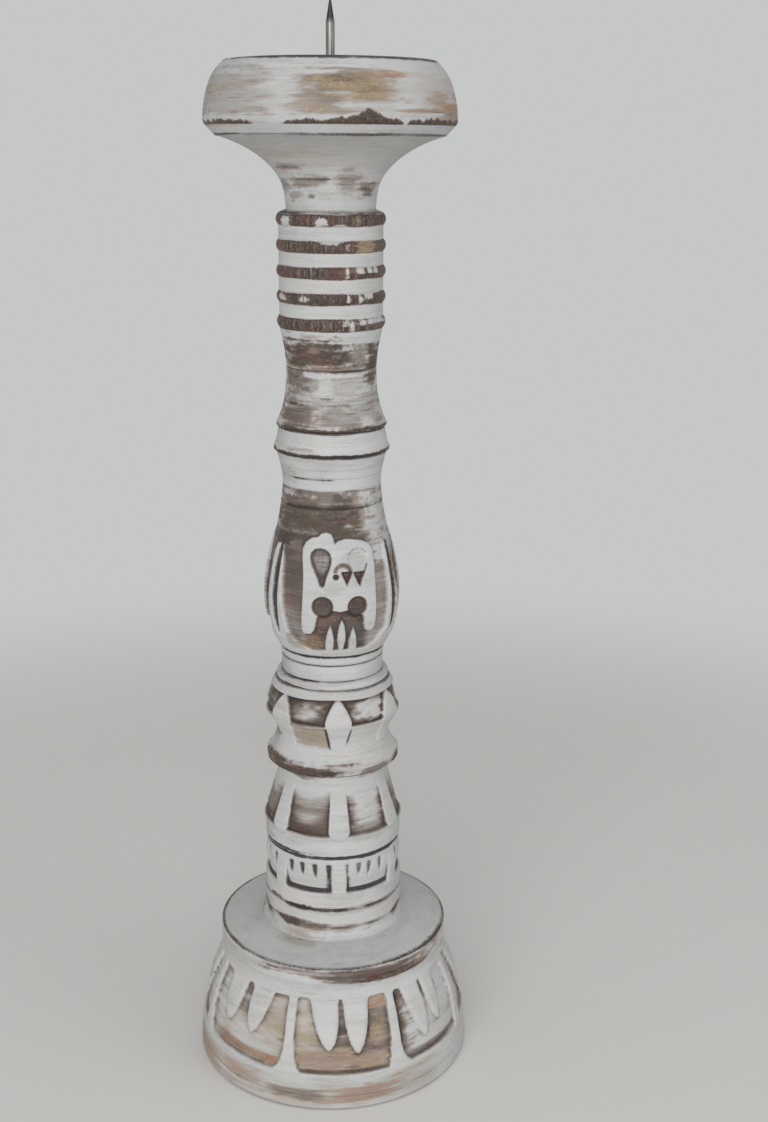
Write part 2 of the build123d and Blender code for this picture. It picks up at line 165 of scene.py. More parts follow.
class Turning:
    """A block as it comes off the lathe: its mesh, the turn, radius and height of each point, how far the
    carving cuts that point in, and the marks on it. Lengths are in millimetres, turns in degrees from the
    front."""

    def __init__(self, name, points, steps, seed):
        places = np.array([tuple(p) for p in points])
        gone = np.concatenate(([0], np.cumsum(np.linalg.norm(np.diff(places, axis=0), axis=1))))
        before, after = (np.column_stack([np.interp(gone + step, gone, way) for way in places.T])
                         for step in (-0.8, 0.8))
        chord = after - before
        proud = np.cross(chord, places - before) / np.maximum(np.linalg.norm(chord, axis=1), 1e-6)
        block = bmesh.new()
        edge = block.verts.layers.float.new("edge")
        line = [block.verts.new((out * mm, 0, up * mm)) for out, up in places]
        for vert, height in zip(line, -proud):
            vert[edge] = height
        pairs = list(zip(line, line[1:])) + ([(line[-1], line[0])] if places[0][0] > 0 else [])
        edges = [block.edges.new(pair) for pair in pairs]
        wedge = math.tau / 16
        bmesh.ops.spin(block, geom=line + edges, axis=(0, 0, 1), angle=wedge, steps=steps // 16)
        for _ in range(4):
            whole = block.verts[:] + block.edges[:] + block.faces[:]
            turned = bmesh.ops.duplicate(block, geom=whole)["geom"]
            bmesh.ops.rotate(block, matrix=Matrix.Rotation(wedge, 3, "Z"),
                             verts=[v for v in turned if isinstance(v, bmesh.types.BMVert)])
            wedge *= 2
        bmesh.ops.remove_doubles(block, verts=block.verts, dist=1e-6)
        bmesh.ops.recalc_face_normals(block, faces=block.faces)
        self.mesh = bpy.data.meshes.new(name)
        block.to_mesh(self.mesh)
        block.free()
        self.chance = np.random.default_rng(seed)
        spots = np.empty(len(self.mesh.vertices) * 3, np.float32)
        self.mesh.vertices.foreach_get("co", spots)
        self.spots = spots.reshape(-1, 3)
        x, y, self.up = self.spots.T.astype(float) / mm
        self.turn, self.out = np.degrees(np.arctan2(x, -y)), np.hypot(x, y)
        proud = np.empty(len(self.spots), np.float32)
        self.mesh.attributes["edge"].data.foreach_get("value", proud)
        self.mesh.attributes.remove(self.mesh.attributes["edge"])
        self.edge, self.inner_edge = np.clip(proud / 0.3, 0, 1), np.clip(-proud / 0.3, 0, 1)
        self.cut, self.rub, self.thin, self.seam, self.warm, self.pores = np.zeros((6, len(self.spots)))
        self.frayed = 0.0
        for share, wide, tall in ((0.34, 30, 0.9), (0.28, 12, 2.4), (0.2, 3, 0.8)):
            self.frayed = self.frayed + share * cloud(self.chance, self.turn, self.up, wide, tall)

    def facing(self, middle):
        """Which points face the given turn, and how far each of these lies to the right of it."""
        aside = np.radians((self.turn - middle + 180) % 360 - 180)
        near = np.abs(aside) < math.radians(75)
        return near, self.out[near] * np.sin(aside[near]), self.up[near]

    def patch(self, *rows):
        """Share of each point in soft patches with a frayed outline, given by height, half height, turn,
        half turn and strength."""
        most = np.zeros(len(self.up))
        for height, tall, turn, wide, strength in rows:
            above = np.abs(self.up - height) / tall
            aside = np.abs((self.turn - turn + 180) % 360 - 180) / wide
            reach = (above ** 4 + aside ** 4) ** 0.25
            most = np.maximum(most, strength * smooth(1.45, 0.4, reach + self.frayed))
        return most

    def strays(self, count, low, high, strength):
        """Rubbed patches wherever the rag happened to press, on the sides away from the front."""
        place = self.chance.uniform
        rows = ((place(low, high), place(1, 5), place(95, 265), place(8, 30), place(0.3, 1) * strength)
                for _ in range(count))
        return self.patch(*rows)

    def made(self, finish, *nodes):
        """The finished piece, cut in, marked and set in the stand in place of its plain solid."""
        self.spots[:, :2] *= ((self.out - self.cut) / np.maximum(self.out, 1e-6))[:, None]
        self.mesh.vertices.foreach_set("co", self.spots.ravel())
        for name in wear_marks:
            self.mesh.attributes.new(name, "FLOAT", "POINT").data.foreach_set("value", getattr(self, name))
        self.mesh.shade_smooth()
        self.mesh.set_sharp_from_angle(angle=math.radians(60))
        self.mesh.materials.append(finish)
        piece = bpy.data.objects.new(self.mesh.name, self.mesh)
        bpy.context.scene.collection.objects.link(piece)
        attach(piece, "root")
        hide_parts(*nodes)


def shade(red, green, blue):
    """A colour as the eye reads it, 0 to 255, as the light values that a shader takes."""
    return (*(((c / 255 + 0.055) / 1.055) ** 2.4 for c in (red, green, blue)), 1.0)


def joined(tree, kind, feeds, **settings):
    """A node of the tree with its settings, each input fed from a socket or set to a plain value."""
    node = tree.nodes.new(kind)
    for name, value in settings.items():
        setattr(node, name, value)
    for socket, feed in feeds.items():
        if isinstance(feed, bpy.types.NodeSocket):
            tree.links.new(feed, node.inputs[socket])
        else:
            node.inputs[socket].default_value = feed
    return node


def maths(tree, operation, first, second, third=0.0):
    return joined(tree, "ShaderNodeMath", {0: first, 1: second, 2: third}, operation=operation).outputs[0]


def eased(tree, value, low, high, start=0.0, end=1.0):
    feeds = {"Value": value, "From Min": low, "From Max": high, "To Min": start, "To Max": end}
    return joined(tree, "ShaderNodeMapRange", feeds, interpolation_type="SMOOTHSTEP").outputs[0]


def blended(tree, share, first, second):
    return joined(tree, "ShaderNodeMix", {0: share, 6: first, 7: second}, data_type="RGBA").outputs[2]


def ramp(tree, value, *stops):
    """Colour that runs through the given stops, each a value and a shade."""
    low, high = stops[0][0], stops[-1][0]
    feeds = {"Value": value, "From Min": low, "From Max": high}
    share = joined(tree, "ShaderNodeMapRange", feeds).outputs[0]
    band = joined(tree, "ShaderNodeValToRGB", {0: share})
    while len(band.color_ramp.elements) < len(stops):
        band.color_ramp.elements.new(0.5)
    for element, (place, colour) in zip(band.color_ramp.elements, stops):
        element.position, element.color = (place - low) / (high - low), colour
    return band.outputs[0]


def mottle(tree, place, seed, stretch, detail):
    """Noise stretched to the given frequencies along x, y and z, centred on zero."""
    scaled = joined(tree, "ShaderNodeVectorMath", {0: place, 1: stretch}, operation="MULTIPLY").outputs[0]
    feeds = {"Vector": scaled, "W": seed, "Scale": 1.0, "Detail": detail, "Roughness": 0.6}
    noise = joined(tree, "ShaderNodeTexNoise", feeds, noise_dimensions="4D").outputs["Fac"]
    return maths(tree, "SUBTRACT", noise, 0.5)


def weighed(tree, first, *pairs):
    """The first value plus each noise times its weight."""
    for noise, weight in pairs:
        first = maths(tree, "MULTIPLY_ADD", noise, weight, first)
    return first


def rubbed_whitewash():
    """Thin chalky paint over dark stain. The marks on a block say where it is rubbed through, thin enough to
    see the stain, dark with stain left in a line, baring paler wood, or caught in the pores of the grain.
    In some recesses and under one overhang the thin and seam marks also carry painted shade, and in one
    place less wash paints a highlight."""
    tree = bpy.data.node_groups.new("rubbed_whitewash", "ShaderNodeTree")
    for name in (*(mark.title() for mark in wear_marks), "Seed"):
        tree.interface.new_socket(name, in_out="INPUT", socket_type="NodeSocketFloat")
    for name, kind in (("Color", "Color"), ("Roughness", "Float"), ("Height", "Float")):
        tree.interface.new_socket(name, in_out="OUTPUT", socket_type="NodeSocket" + kind)
    marks = tree.nodes.new("NodeGroupInput").outputs
    place = tree.nodes.new("ShaderNodeTexCoord").outputs["Object"]
    seed = marks["Seed"]
    streaks = mottle(tree, place, seed, (22, 22, 420), 3.0)
    scratches = mottle(tree, place, seed, (110, 110, 1700), 2.0)
    blotches = mottle(tree, place, seed, (40, 40, 60), 4.0)
    specks = mottle(tree, place, seed, (900, 900, 900), 2.0)
    grain = mottle(tree, place, seed, (1100, 1100, 45), 2.0)

    ragged = weighed(tree, 0.0, (streaks, 1.1), (scratches, 0.8), (blotches, 0.6), (specks, 0.6))
    upright = weighed(tree, 0.0, (grain, 1.8), (blotches, 1.0))
    ragged = joined(tree, "ShaderNodeMix", {0: marks["Pores"], 2: ragged, 3: upright}).outputs[0]
    rubbed = eased(tree, maths(tree, "ADD", marks["Rub"], ragged), 0.3, 0.8)
    wash = weighed(tree, marks["Thin"], (streaks, 0.75), (scratches, 0.65), (blotches, 0.45),
                   (specks, 0.35))
    washed = maths(tree, "MULTIPLY", eased(tree, wash, 0.0, 1.05), eased(tree, marks["Thin"], 0.0, 0.25))
    bare = maths(tree, "MAXIMUM", rubbed, washed)

    along = weighed(tree, 0.0, (streaks, 0.8), (scratches, 0.9), (blotches, 0.9), (specks, 0.8))
    pored = weighed(tree, 0.04, (grain, 1.8), (blotches, 1.0), (specks, 0.7))
    tone = joined(tree, "ShaderNodeMix", {0: marks["Pores"], 2: along, 3: pored}).outputs[0]
    dark = ramp(tree, tone, (-0.3, shade(40, 34, 33)), (0.0, shade(74, 62, 57)), (0.3, shade(124, 105, 96)))
    hue = mottle(tree, place, seed, (60, 60, 90), 2.0)
    dark = blended(tree, eased(tree, hue, 0.0, 0.18, 0.0, 0.6), dark, shade(104, 68, 62))
    dark = blended(tree, eased(tree, hue, -0.02, -0.18, 0.0, 0.7), dark, shade(86, 76, 56))
    fine = weighed(tree, 0.0, (scratches, 1.0), (streaks, 0.8), (specks, 0.6))
    straw = (0.1, 0.75), ((108, 93, 73), (152, 135, 110), (184, 167, 142))
    rosy = (0.75, 1.1), ((110, 86, 74), (153, 127, 110), (186, 161, 144))
    amber = (1.15, 1.7), ((114, 78, 58), (156, 112, 84), (182, 142, 112))
    warmth = weighed(tree, marks["Warm"], (blotches, 0.7), (streaks, 0.35), (scratches, 0.3), (specks, 0.2))
    stain = dark
    for (start, full), tones in (straw, rosy, amber):
        bared = ramp(tree, fine, *zip((-0.3, 0.0, 0.3), (shade(*tone) for tone in tones)))
        stain = blended(tree, eased(tree, warmth, start, full), stain, bared)
    chalk = ramp(tree, weighed(tree, 0.0, (blotches, 0.7), (scratches, 0.6), (streaks, 0.8), (specks, 0.4)),
                 (-0.3, shade(164, 163, 160)), (-0.05, shade(192, 193, 192)), (0.2, shade(203, 204, 204)))
    cast = ramp(tree, mottle(tree, place, seed, (16, 16, 26), 3.0),
                (-0.2, shade(186, 191, 193)), (0.0, shade(193, 193, 191)), (0.2, shade(201, 190, 182)))
    chalk = blended(tree, 0.3, chalk, cast)
    chalk = blended(tree, eased(tree, bare, 0.0, 0.6, 0.0, 0.65), chalk, shade(174, 159, 149))
    coat = blended(tree, bare, chalk, stain)
    lines = maths(tree, "MULTIPLY", eased(tree, scratches, 0.06, 0.2),
                  eased(tree, marks["Thin"], 0.1, 0.6, 0.0, 0.5))
    coat = blended(tree, lines, coat, shade(92, 76, 68))
    broken = weighed(tree, marks["Seam"], (blotches, 0.6), (streaks, 0.5), (specks, 0.4))
    coat = blended(tree, eased(tree, broken, 0.2, 0.85, 0.0, 0.94), coat, shade(50, 43, 41))

    ends = tree.nodes.new("NodeGroupOutput").inputs
    tree.links.new(coat, ends["Color"])
    tree.links.new(weighed(tree, 0.78, (bare, -0.2), (specks, 0.2)), ends["Roughness"])
    tree.links.new(weighed(tree, 0.5, (bare, -0.4), (scratches, 0.5), (streaks, 0.4), (specks, 0.4)),
                   ends["Height"])
    return tree


whitewash = rubbed_whitewash()


def blank_finish(name):
    """A new material with its node tree and its shader."""
    finish = bpy.data.materials.new(name)
    finish.use_nodes = True
    return finish, finish.node_tree, finish.node_tree.nodes["Principled BSDF"]


def raise_grain(tree, shader, height, strength, depth):
    """Let a height value show as fine relief on the material."""
    bump = joined(tree, "ShaderNodeBump", {"Height": height, "Strength": strength, "Distance": depth})
    tree.links.new(bump.outputs["Normal"], shader.inputs["Normal"])


def whitewashed(name, seed):
    """A block's own whitewash, read from the marks on its mesh."""
    finish, tree, shader = blank_finish(name)
    shader.inputs["Specular IOR Level"].default_value = 0.3
    coat = joined(tree, "ShaderNodeGroup", {}, node_tree=whitewash)
    coat.inputs["Seed"].default_value = seed
    for mark in wear_marks:
        read = joined(tree, "ShaderNodeAttribute", {}, attribute_name=mark)
        tree.links.new(read.outputs["Fac"], coat.inputs[mark.title()])
    tree.links.new(coat.outputs["Color"], shader.inputs["Base Color"])
    tree.links.new(coat.outputs["Roughness"], shader.inputs["Roughness"])
    raise_grain(tree, shader, coat.outputs["Height"], 0.35, 0.0002)
    return finish


tenon_radius, tenon_length = 14.0, 18.0
glue_clearance, glue_gap = 0.1, 0.5
screw_hole_radius = 2.6
counterbore_radius, counterbore_depth = 9.0, 22.0
felt_radius, felt_recess = 56.3, 1.5
base_top = base_foot + base_height
socket_floor = base_top - tenon_length - glue_gap
recess_top = base_foot + felt_recess
web_foot = recess_top + counterbore_depth
base_side = scribed(profile(base_outline[:-1], base_radius, base_height, base_foot, 0.55),
                    [base_foot + 6.4])
base_crown = profile((base_outline[-2][-1:], base_outline[-1]), base_radius, base_height, base_foot, 2.0)
base_bores = [(screw_hole_radius, web_foot), (counterbore_radius, web_foot),
              (counterbore_radius, recess_top), (felt_radius, recess_top), (felt_radius, base_foot)]
base_socket = [(tenon_radius + glue_clearance, base_top), (tenon_radius + glue_clearance, socket_floor),
               (screw_hole_radius, socket_floor)]
base = Turning("base_block", base_bores + base_side + base_crown[1:] + base_socket, 560, 11)

sunk = np.zeros(len(base.up))
# corner_shade_and_stain: darkening along the walls of each sunk panel, partly dark stain gathered there and
# partly painted shade in the recess.
corner_shade_and_stain = np.zeros(len(base.up))
for (middle, half_angle), (flares, pair) in zip(gaps_between(base_posts), panels + panels[1:] + panels[3:]):
    near, across, up = base.facing(middle)
    drift = 0.3 * wander(base.chance, across / 5, up / 5)
    half = 0.96 * base_radius * math.sin(half_angle) - base_post_width / 2
    left, right = ([(half * (wide - flare * share), height) for share, wide, height in panel_side]
                   for flare in flares)
    outline = right + [(-aside, height) for aside, height in reversed(left)]
    ground = edge_distance(outline, across, up) + drift
    for place, tip_place, wide, tip in pair:
        side = [(wide * out, tip + (petal_top - tip) * share) for out, share in petal_shares]
        lean = (tip_place - place) * (petal_top - up) / (petal_top - tip)
        petal = edge_distance(mirrored(side, 1.0, place), across - lean, up) + drift
        ground = np.minimum(ground, -petal)
        base.cut[near] += 0.5 * smooth(2.2, 0.0, petal) * (petal > 0) * smooth(51, 46, up)
    ground -= 1.2 * smooth(47.5, 50.5, up)
    sunk[near] = np.maximum(sunk[near], smooth(-0.5, 0.5, ground))
    corner_shade_and_stain[near] = np.maximum(corner_shade_and_stain[near],
                               np.exp(-np.abs(ground - 0.2) / 1.1) * smooth(-0.6, 0.2, ground))
base.cut += ground_depth * sunk
aged = 0.2 * cloud(base.chance, base.turn, base.up, 12, 3)
aged += 0.12 * cloud(base.chance, base.turn, base.up, 5, 1.4)
# From it the panel corners get a seam, more wash and less warmth: partly stain, partly painted shade.
base.seam = 0.3 * corner_shade_and_stain
panel_wash = 0.4 + aged + 0.4 * corner_shade_and_stain + base.patch(
    (22.0, 5.0, -10, 13, 0.4), (21.0, 5.5, 11, 11, 0.34), (46.5, 3.5, 15, 6, 0.1),
    (35.0, 9.0, 15, 7, 0.38), (40.0, 12.0, -1.3, 3, 0.2), (42.0, 9.0, -33, 6, 0.1),
    (19.8, 1.9, -50, 24, 0.5), (43.0, 8.0, -50.5, 2.5, 0.1), (36.0, 16.0, 26.5, 3, 0.42),
    (18.8, 1.8, 45, 20, 0.4), (42.0, 9.0, 42, 2, 0.3), (34.0, 18.0, 180, 96, 0.2))
panel_wash -= base.patch(
    (30.0, 13.0, 46, 16, 0.46), (38.0, 16.0, 59, 7, 0.5), (34.0, 15.0, -69, 5, 0.35),
    (27.0, 6.0, -50, 22, 0.16), (35.0, 18.0, -84, 7, 0.4), (35.0, 18.0, 72, 6, 0.3))
base.thin = sunk * np.clip(panel_wash, 0, 1)
panel_warmth = base.patch(
    (38.0, 16.0, -18, 7, 0.72), (22.0, 6.0, -9, 14, 1.15), (21.0, 5.0, 12, 10, 1.05),
    (46.8, 3.2, 15, 6, 1.5), (36.0, 9.0, 15, 8, 0.6), (40.0, 12.0, -33, 8, 0.72),
    (27.0, 8.0, -52, 24, 1.0), (19.8, 2.2, -50, 24, 1.3), (20.0, 2.4, -33, 5, 1.6),
    (44.0, 8.0, -66, 8, 0.2), (36.0, 20.0, 150, 34, 0.9), (36.0, 20.0, 230, 26, 0.8))
base.warm = sunk * np.clip(panel_warmth - 0.4 * corner_shade_and_stain, 0, 2)
upright_side = smooth(0.80, 0.815, base.out / base_radius)
base.rub = 0.03 + 0.16 * base.edge + upright_side * base.patch(
    (58.6, 2.0, 24, 26, 0.86), (62.6, 1.4, 14, 34, 0.62), (61.0, 2.0, 32, 16, 0.55),
    (64.3, 0.6, 0, all_round, 0.4), (60.5, 1.2, -42, 6, 0.42), (62.5, 1.2, -36, 5, 0.45),
    (61.0, 1.4, -68, 12, 0.4))
base.rub += base.strays(8, 4, 64, 0.7)
low_band = smooth(17.5, 14.0, base.up) * (1 - sunk)
drawn = cloud(base.chance, base.turn, base.up, 18, 3.5)
band_wash = np.clip(0.22 + 0.15 * drawn - base.patch((8.0, 8.0, 62, 24, 0.14)), 0, 1)
base.thin += low_band * band_wash + base.patch(
    (7.8, 4.4, 7, 14, 0.5), (7.5, 2.4, -22, 15, 0.42), (9.0, 4.4, -47, 12, 0.36),
    (6.0, 7.0, -76, 18, 0.3), (9.5, 4.8, 29, 14, 0.22), (60.4, 4.0, 18, 32, 0.85),
    (62.5, 2.0, 0, 40, 0.5), (60.5, 3.5, -60, 30, 0.25), (8.0, 5.0, 170, 60, 0.3))
base.warm += (0.85 * low_band + base.patch(
    (7.8, 4.6, 8, 14, 0.4), (9.0, 5.0, -47, 12, 0.5), (61.0, 3.0, 46, 8, 0.4))) * (1 - sunk)
base.warm -= base.patch((7.5, 2.6, -22, 15, 0.6)) * (1 - sunk)
foot_spill = base.patch((67.0, 2.0, -35, 16, 1.0)) * smooth(40.5, 38.0, base.out) * (base.out > 33)
base.thin += 0.38 * foot_spill
base.warm += 0.65 * foot_spill
base.seam += base.patch((6.9, 0.6, 0, all_round, 0.32))
base.seam += 0.6 * upright_side * smooth(0.8, 0.3, np.abs(base.up - 64.3))
base.seam += 0.6 * sunk * base.patch(
    (17.8, 1.0, 0, 22, 0.8), (19.0, 0.8, -50, 24, 0.4), (18.4, 1.2, 45, 20, 0.75),
    (36.0, 15.0, 25.5, 2.0, 0.9), (38.0, 9.0, -1.5, 2.5, 0.6), (40.0, 9.0, 10.5, 1.2, 0.9))
base.rub[base.out < 33] = 1.0
base.made(whitewashed("base_whitewash", 1.0), "base_plinth")


# Toothed drum: the lowest block of the column, glued by its turned tenon into the base. A moulded foot and
# a plain band with a scribed line carry six pillars, and between the pillars a slope with gouged nicks that
# leave teeth.
drum_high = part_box("toothed_drum")[1]
drum_foot, drum_height = base_top, drum_high.z / mm - base_top
toothed_radius = drum_high.x / mm
toothed_outline = (
    ((1.0, 0.0),),
    ((0.943, 0.04), (0.922, 0.115)),
    ((0.949, 0.155),),
    ((0.949, 0.36),),
    ((0.940, 0.592), (0.946, 0.737), (0.922, 0.912), (0.913, 1.0)),
)
drum_turns = (0.0, 55.0, 117.0, 180.0, 243.0, 305.0)
pillar_width = 6.2
tooth_foot, tooth_top = drum_foot + 23.0, drum_foot + 37.0
nick_width, nick_length = 3.0, 6.6
nick_shares = ((-0.97, -0.45, 0.03, 0.55), (-0.9, -0.3, 0.3, 0.8), (-0.8, -0.35, 0.25, 0.9),
               (-0.9, -0.4, 0.2, 0.7), (-0.85, -0.3, 0.35, 0.9), (-0.74, -0.24, 0.29, 0.85))
dowel_hole_radius, dowel_hole_depth = 5.1, 12.5
drum_top = drum_foot + drum_height
tenon_foot = drum_foot - tenon_length
pilot_top = tenon_foot + 26.5


def dowel_hole(mouth, depth):
    """Profile points of a drilled hole, from mouth to floor on the axis. A negative depth goes down."""
    return [(dowel_hole_radius, mouth), (dowel_hole_radius, mouth + depth), (0, mouth + depth)]


drum_side = scribed(profile(toothed_outline, toothed_radius, drum_height, drum_foot, 0.5),
                    [drum_foot + 15.1])
drum_tenon = [(0, pilot_top), (screw_hole_radius, pilot_top), (screw_hole_radius, tenon_foot),
              (tenon_radius, tenon_foot), (tenon_radius, drum_foot)]
drum_points = drum_tenon + drum_side + dowel_hole(drum_top, -dowel_hole_depth)
toothed = Turning("toothed_block", drum_points, 400, 12)
for (middle, half_angle), shares in zip(gaps_between(drum_turns), nick_shares):
    near, across, up = toothed.facing(middle)
    drift = 0.25 * wander(toothed.chance, across / 4, up / 4)
    half = 0.946 * toothed_radius * math.sin(half_angle) - pillar_width / 2
    slope = smooth(tooth_top, tooth_foot, up)
    panel_edge = (half, tooth_foot - 0.6), (half, tooth_top + 4)
    panel = edge_distance(mirrored(panel_edge), across, up) + drift
    sloped = smooth(-0.4, 0.4, panel)
    toothed.cut[near] += ground_depth * sloped * slope
    # A dark line along the foot of each slope is a painted shadow under its ledge. Below, the darkening
    # along the panel walls is partly stain and partly painted shade, and it is wider towards the front.
    ledge_shadow_line = smooth(1.8, 0.9, np.abs(up - tooth_foot - 0.6 + drift)) * sloped
    beside_front = smooth(18, 8, np.abs(toothed.turn[near]))
    wall_shade_and_stain = np.exp(-np.abs(panel - 0.3) / (0.8 + 0.9 * beside_front))
    wall_shade_and_stain *= sloped * smooth(tooth_top, tooth_foot + 4, up)
    nicks = np.zeros(len(across))
    for share, longer in zip(shares, (1.0, 1.05, 1.3, 1.25)):
        length = nick_length * longer * toothed.chance.uniform(0.9, 1.1)
        lean = toothed.chance.uniform(-0.12, 0.12)
        down = (tooth_top - 0.2 - up) / length
        aside = np.abs(across - share * half + lean * (up - tooth_top)) / (nick_width / 2)
        taper = np.clip(1.15 - 0.75 * down, 0.1, 1)
        nick = smooth(1.35, 0.4, aside / taper) * smooth(-0.1, 0.12, down) * smooth(1.1, 0.6, down)
        nicks = np.maximum(nicks, nick * sloped)
    toothed.cut[near] += 1.1 * nicks
    depth_of_stain = 0.85 - 0.3 * smooth(12, 35, middle) * (middle < 60)
    toothed.seam[near] = np.maximum.reduce((toothed.seam[near], 0.85 * ledge_shadow_line, 0.85 * wall_shade_and_stain,
                                            depth_of_stain * nicks))
    toothed.thin[near] = np.maximum(toothed.thin[near], sloped * (0.12 + 0.3 * slope * wall_shade_and_stain))
toothed.rub = 0.02 + 0.1 * toothed.edge + toothed.patch(
    (73.6, 1.7, -46, 15, 0.75), (72.9, 2.0, -24, 13, 0.7), (72.8, 1.2, 0, 12, 0.5),
    (72.7, 1.4, 32, 10, 0.55), (73.0, 2.6, 64, 12, 0.8), (72.8, 2.8, -80, 16, 0.78),
    (82.4, 1.5, -36, 14, 0.78), (83.4, 0.9, -30, 10, 0.6), (83.4, 1.2, -60, 10, 0.6))
toothed.rub += toothed.strays(6, 69, 90, 0.8)
toothed.thin += toothed.patch((73.6, 2.8, -45, 17, 0.95), (72.8, 2.8, -22, 15, 0.85),
                              (72.6, 2.2, 0, 16, 0.4), (72.6, 2.4, 33, 14, 0.36),
                              (73.0, 3.6, 66, 14, 0.6), (73.0, 4.0, -80, 18, 0.6),
                              (78.0, 9.0, -80, 16, 0.25), (82.2, 2.2, 0, 70, 0.3),
                              (69.2, 1.5, -35, 15, 0.45), (70.0, 3.0, 180, 100, 0.4))
toothed.warm = toothed.patch((71.6, 2.4, -24, 13, 0.6), (69.2, 1.7, -35, 17, 0.65))
toothed.seam += toothed.patch((82.3, 0.9, -18, 32, 0.7), (82.2, 0.9, 4, 12, 0.85),
                              (82.3, 0.7, 0, all_round, 0.5), (82.3, 0.7, 46, 26, 0.6),
                              (107.2, 0.8, 0, all_round, 0.85), (73.4, 0.8, 0, all_round, 0.3))
toothed.seam += toothed.patch((94.5, 4.5, -9.4, 1.8, 0.3), (95.0, 5.0, 7.6, 1.4, 0.2),
                              (93.0, 3.0, -46.5, 3.0, 0.3))
toothed.seam -= toothed.patch((82.3, 2.0, 13, 6, 0.3))
toothed.rub[toothed.out < 0.88 * toothed_radius] = 1.0
toothed.made(whitewashed("toothed_whitewash", 2.0), "toothed_drum")


# Washer and wood screw: zinc plated steel. The screw goes up through the base and pulls the drum's tenon
# into its socket; its slotted head bears on the washer at the top of the counterbore, where nobody sees it.
def zinc_plate():
    finish, tree, shader = blank_finish("zinc_plate")
    shader.inputs["Metallic"].default_value = 1.0
    place = tree.nodes.new("ShaderNodeTexCoord").outputs["Object"]
    spangle = mottle(tree, place, 31.0, (700, 700, 700), 3.0)
    rings = mottle(tree, place, 32.0, (120, 120, 2600), 2.0)
    tint = blended(tree, eased(tree, spangle, -0.2, 0.2), shade(168, 170, 172), shade(198, 196, 186))
    tree.links.new(tint, shader.inputs["Base Color"])
    tree.links.new(maths(tree, "MULTIPLY_ADD", spangle, 0.3, 0.38), shader.inputs["Roughness"])
    raise_grain(tree, shader, rings, 0.2, 0.0001)
    return finish


def dress(finish, *nodes):
    """Give a finish to solids of the frame that keep their shape."""
    for node in nodes:
        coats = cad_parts[node].data.materials
        coats.clear()
        coats.append(finish)


dress(zinc_plate(), "base_washer", "base_screw")


# Felt pad: a disc of pressed wool felt, die cut and glued into the shallow recess under the base so that
# the stand doesn't scratch a table. Its cut edge is slightly rounded and its faces are matted fibres.
felt_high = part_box("felt_pad")[1]
pad_radius, pad_top = felt_high.x / mm, felt_high.z / mm
felt_block = bmesh.new()
bmesh.ops.create_circle(felt_block, cap_ends=True, radius=pad_radius * mm, segments=160)
lifted = bmesh.ops.extrude_face_region(felt_block, geom=felt_block.faces[:])["geom"]
bmesh.ops.translate(felt_block, vec=(0, 0, pad_top * mm),
                    verts=[v for v in lifted if isinstance(v, bmesh.types.BMVert)])
bmesh.ops.recalc_face_normals(felt_block, faces=felt_block.faces)
rims = [e for e in felt_block.edges if abs(e.verts[0].co.z - e.verts[1].co.z) < 1e-6]
bmesh.ops.bevel(felt_block, geom=rims, offset=0.5 * mm, offset_type="OFFSET", segments=4, profile=0.5,
                affect="EDGES", material=-1)
felt_mesh = bpy.data.meshes.new("felt_disc")
felt_block.to_mesh(felt_mesh)
felt_block.free()
felt_mesh.shade_smooth()
felt_mesh.set_sharp_from_angle(angle=math.radians(50))
felt = bpy.data.objects.new("felt_disc", felt_mesh)
bpy.context.scene.collection.objects.link(felt)


def pressed_felt():
    finish, tree, shader = blank_finish("pressed_felt")
    shader.inputs["Specular IOR Level"].default_value = 0.1
    shader.inputs["Sheen Weight"].default_value = 0.4
    shader.inputs["Sheen Roughness"].default_value = 0.6
    place = tree.nodes.new("ShaderNodeTexCoord").outputs["Object"]
    fibres = maths(tree, "ADD", mottle(tree, place, 41.0, (2600, 500, 900), 3.0),
                   mottle(tree, place, 42.0, (500, 2600, 900), 3.0))
    clumps = mottle(tree, place, 43.0, (160, 160, 160), 4.0)
    mixed = maths(tree, "ADD", fibres, clumps)
    tree.links.new(blended(tree, eased(tree, mixed, -0.35, 0.35), shade(66, 58, 50), shade(104, 94, 82)),
                   shader.inputs["Base Color"])
    tree.links.new(maths(tree, "MULTIPLY_ADD", fibres, 0.2, 0.92), shader.inputs["Roughness"])
    raise_grain(tree, shader, mixed, 0.7, 0.0004)
    return finish


felt_mesh.materials.append(pressed_felt())
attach(felt, "root")
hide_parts("felt_pad")


# Dowels: five plain beech pins, glued into the drilled ends of the blocks. They line up the column's
# joints, and the two longer ones also pass through the thin rings above and below the vase.
def bare_beech():
    finish, tree, shader = blank_finish("bare_beech")
    place = tree.nodes.new("ShaderNodeTexCoord").outputs["Object"]
    fibres = mottle(tree, place, 51.0, (900, 900, 40), 3.0)
    flecks = mottle(tree, place, 52.0, (1800, 1800, 240), 2.0)
    tint = blended(tree, eased(tree, maths(tree, "ADD", fibres, flecks), -0.3, 0.3),
                   shade(172, 130, 92), shade(214, 178, 136))
    tree.links.new(tint, shader.inputs["Base Color"])
    tree.links.new(maths(tree, "MULTIPLY_ADD", flecks, 0.3, 0.62), shader.inputs["Roughness"])
    raise_grain(tree, shader, fibres, 0.3, 0.0002)
    return finish


dress(bare_beech(), "leaf_dowel", "lozenge_dowel", "vase_dowel", "collar_dowel", "pan_dowel")


# Leaf drum: a block that narrows upwards, with six upright leaves left standing between ramps. Each ramp
# starts flush at the top and is cut deepest at the bottom, where it ends in a ledge over a plain moulded
# band.
def standing(node):
    """Foot and height of a piece of the frame."""
    low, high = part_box(node)
    return low.z / mm, (high.z - low.z) / mm


def bored(side, foot, height):
    """Profile of a block with a dowel hole drilled into each end."""
    below, above = dowel_hole(foot, dowel_hole_depth), dowel_hole(foot + height, -dowel_hole_depth)
    return below[::-1] + side + above


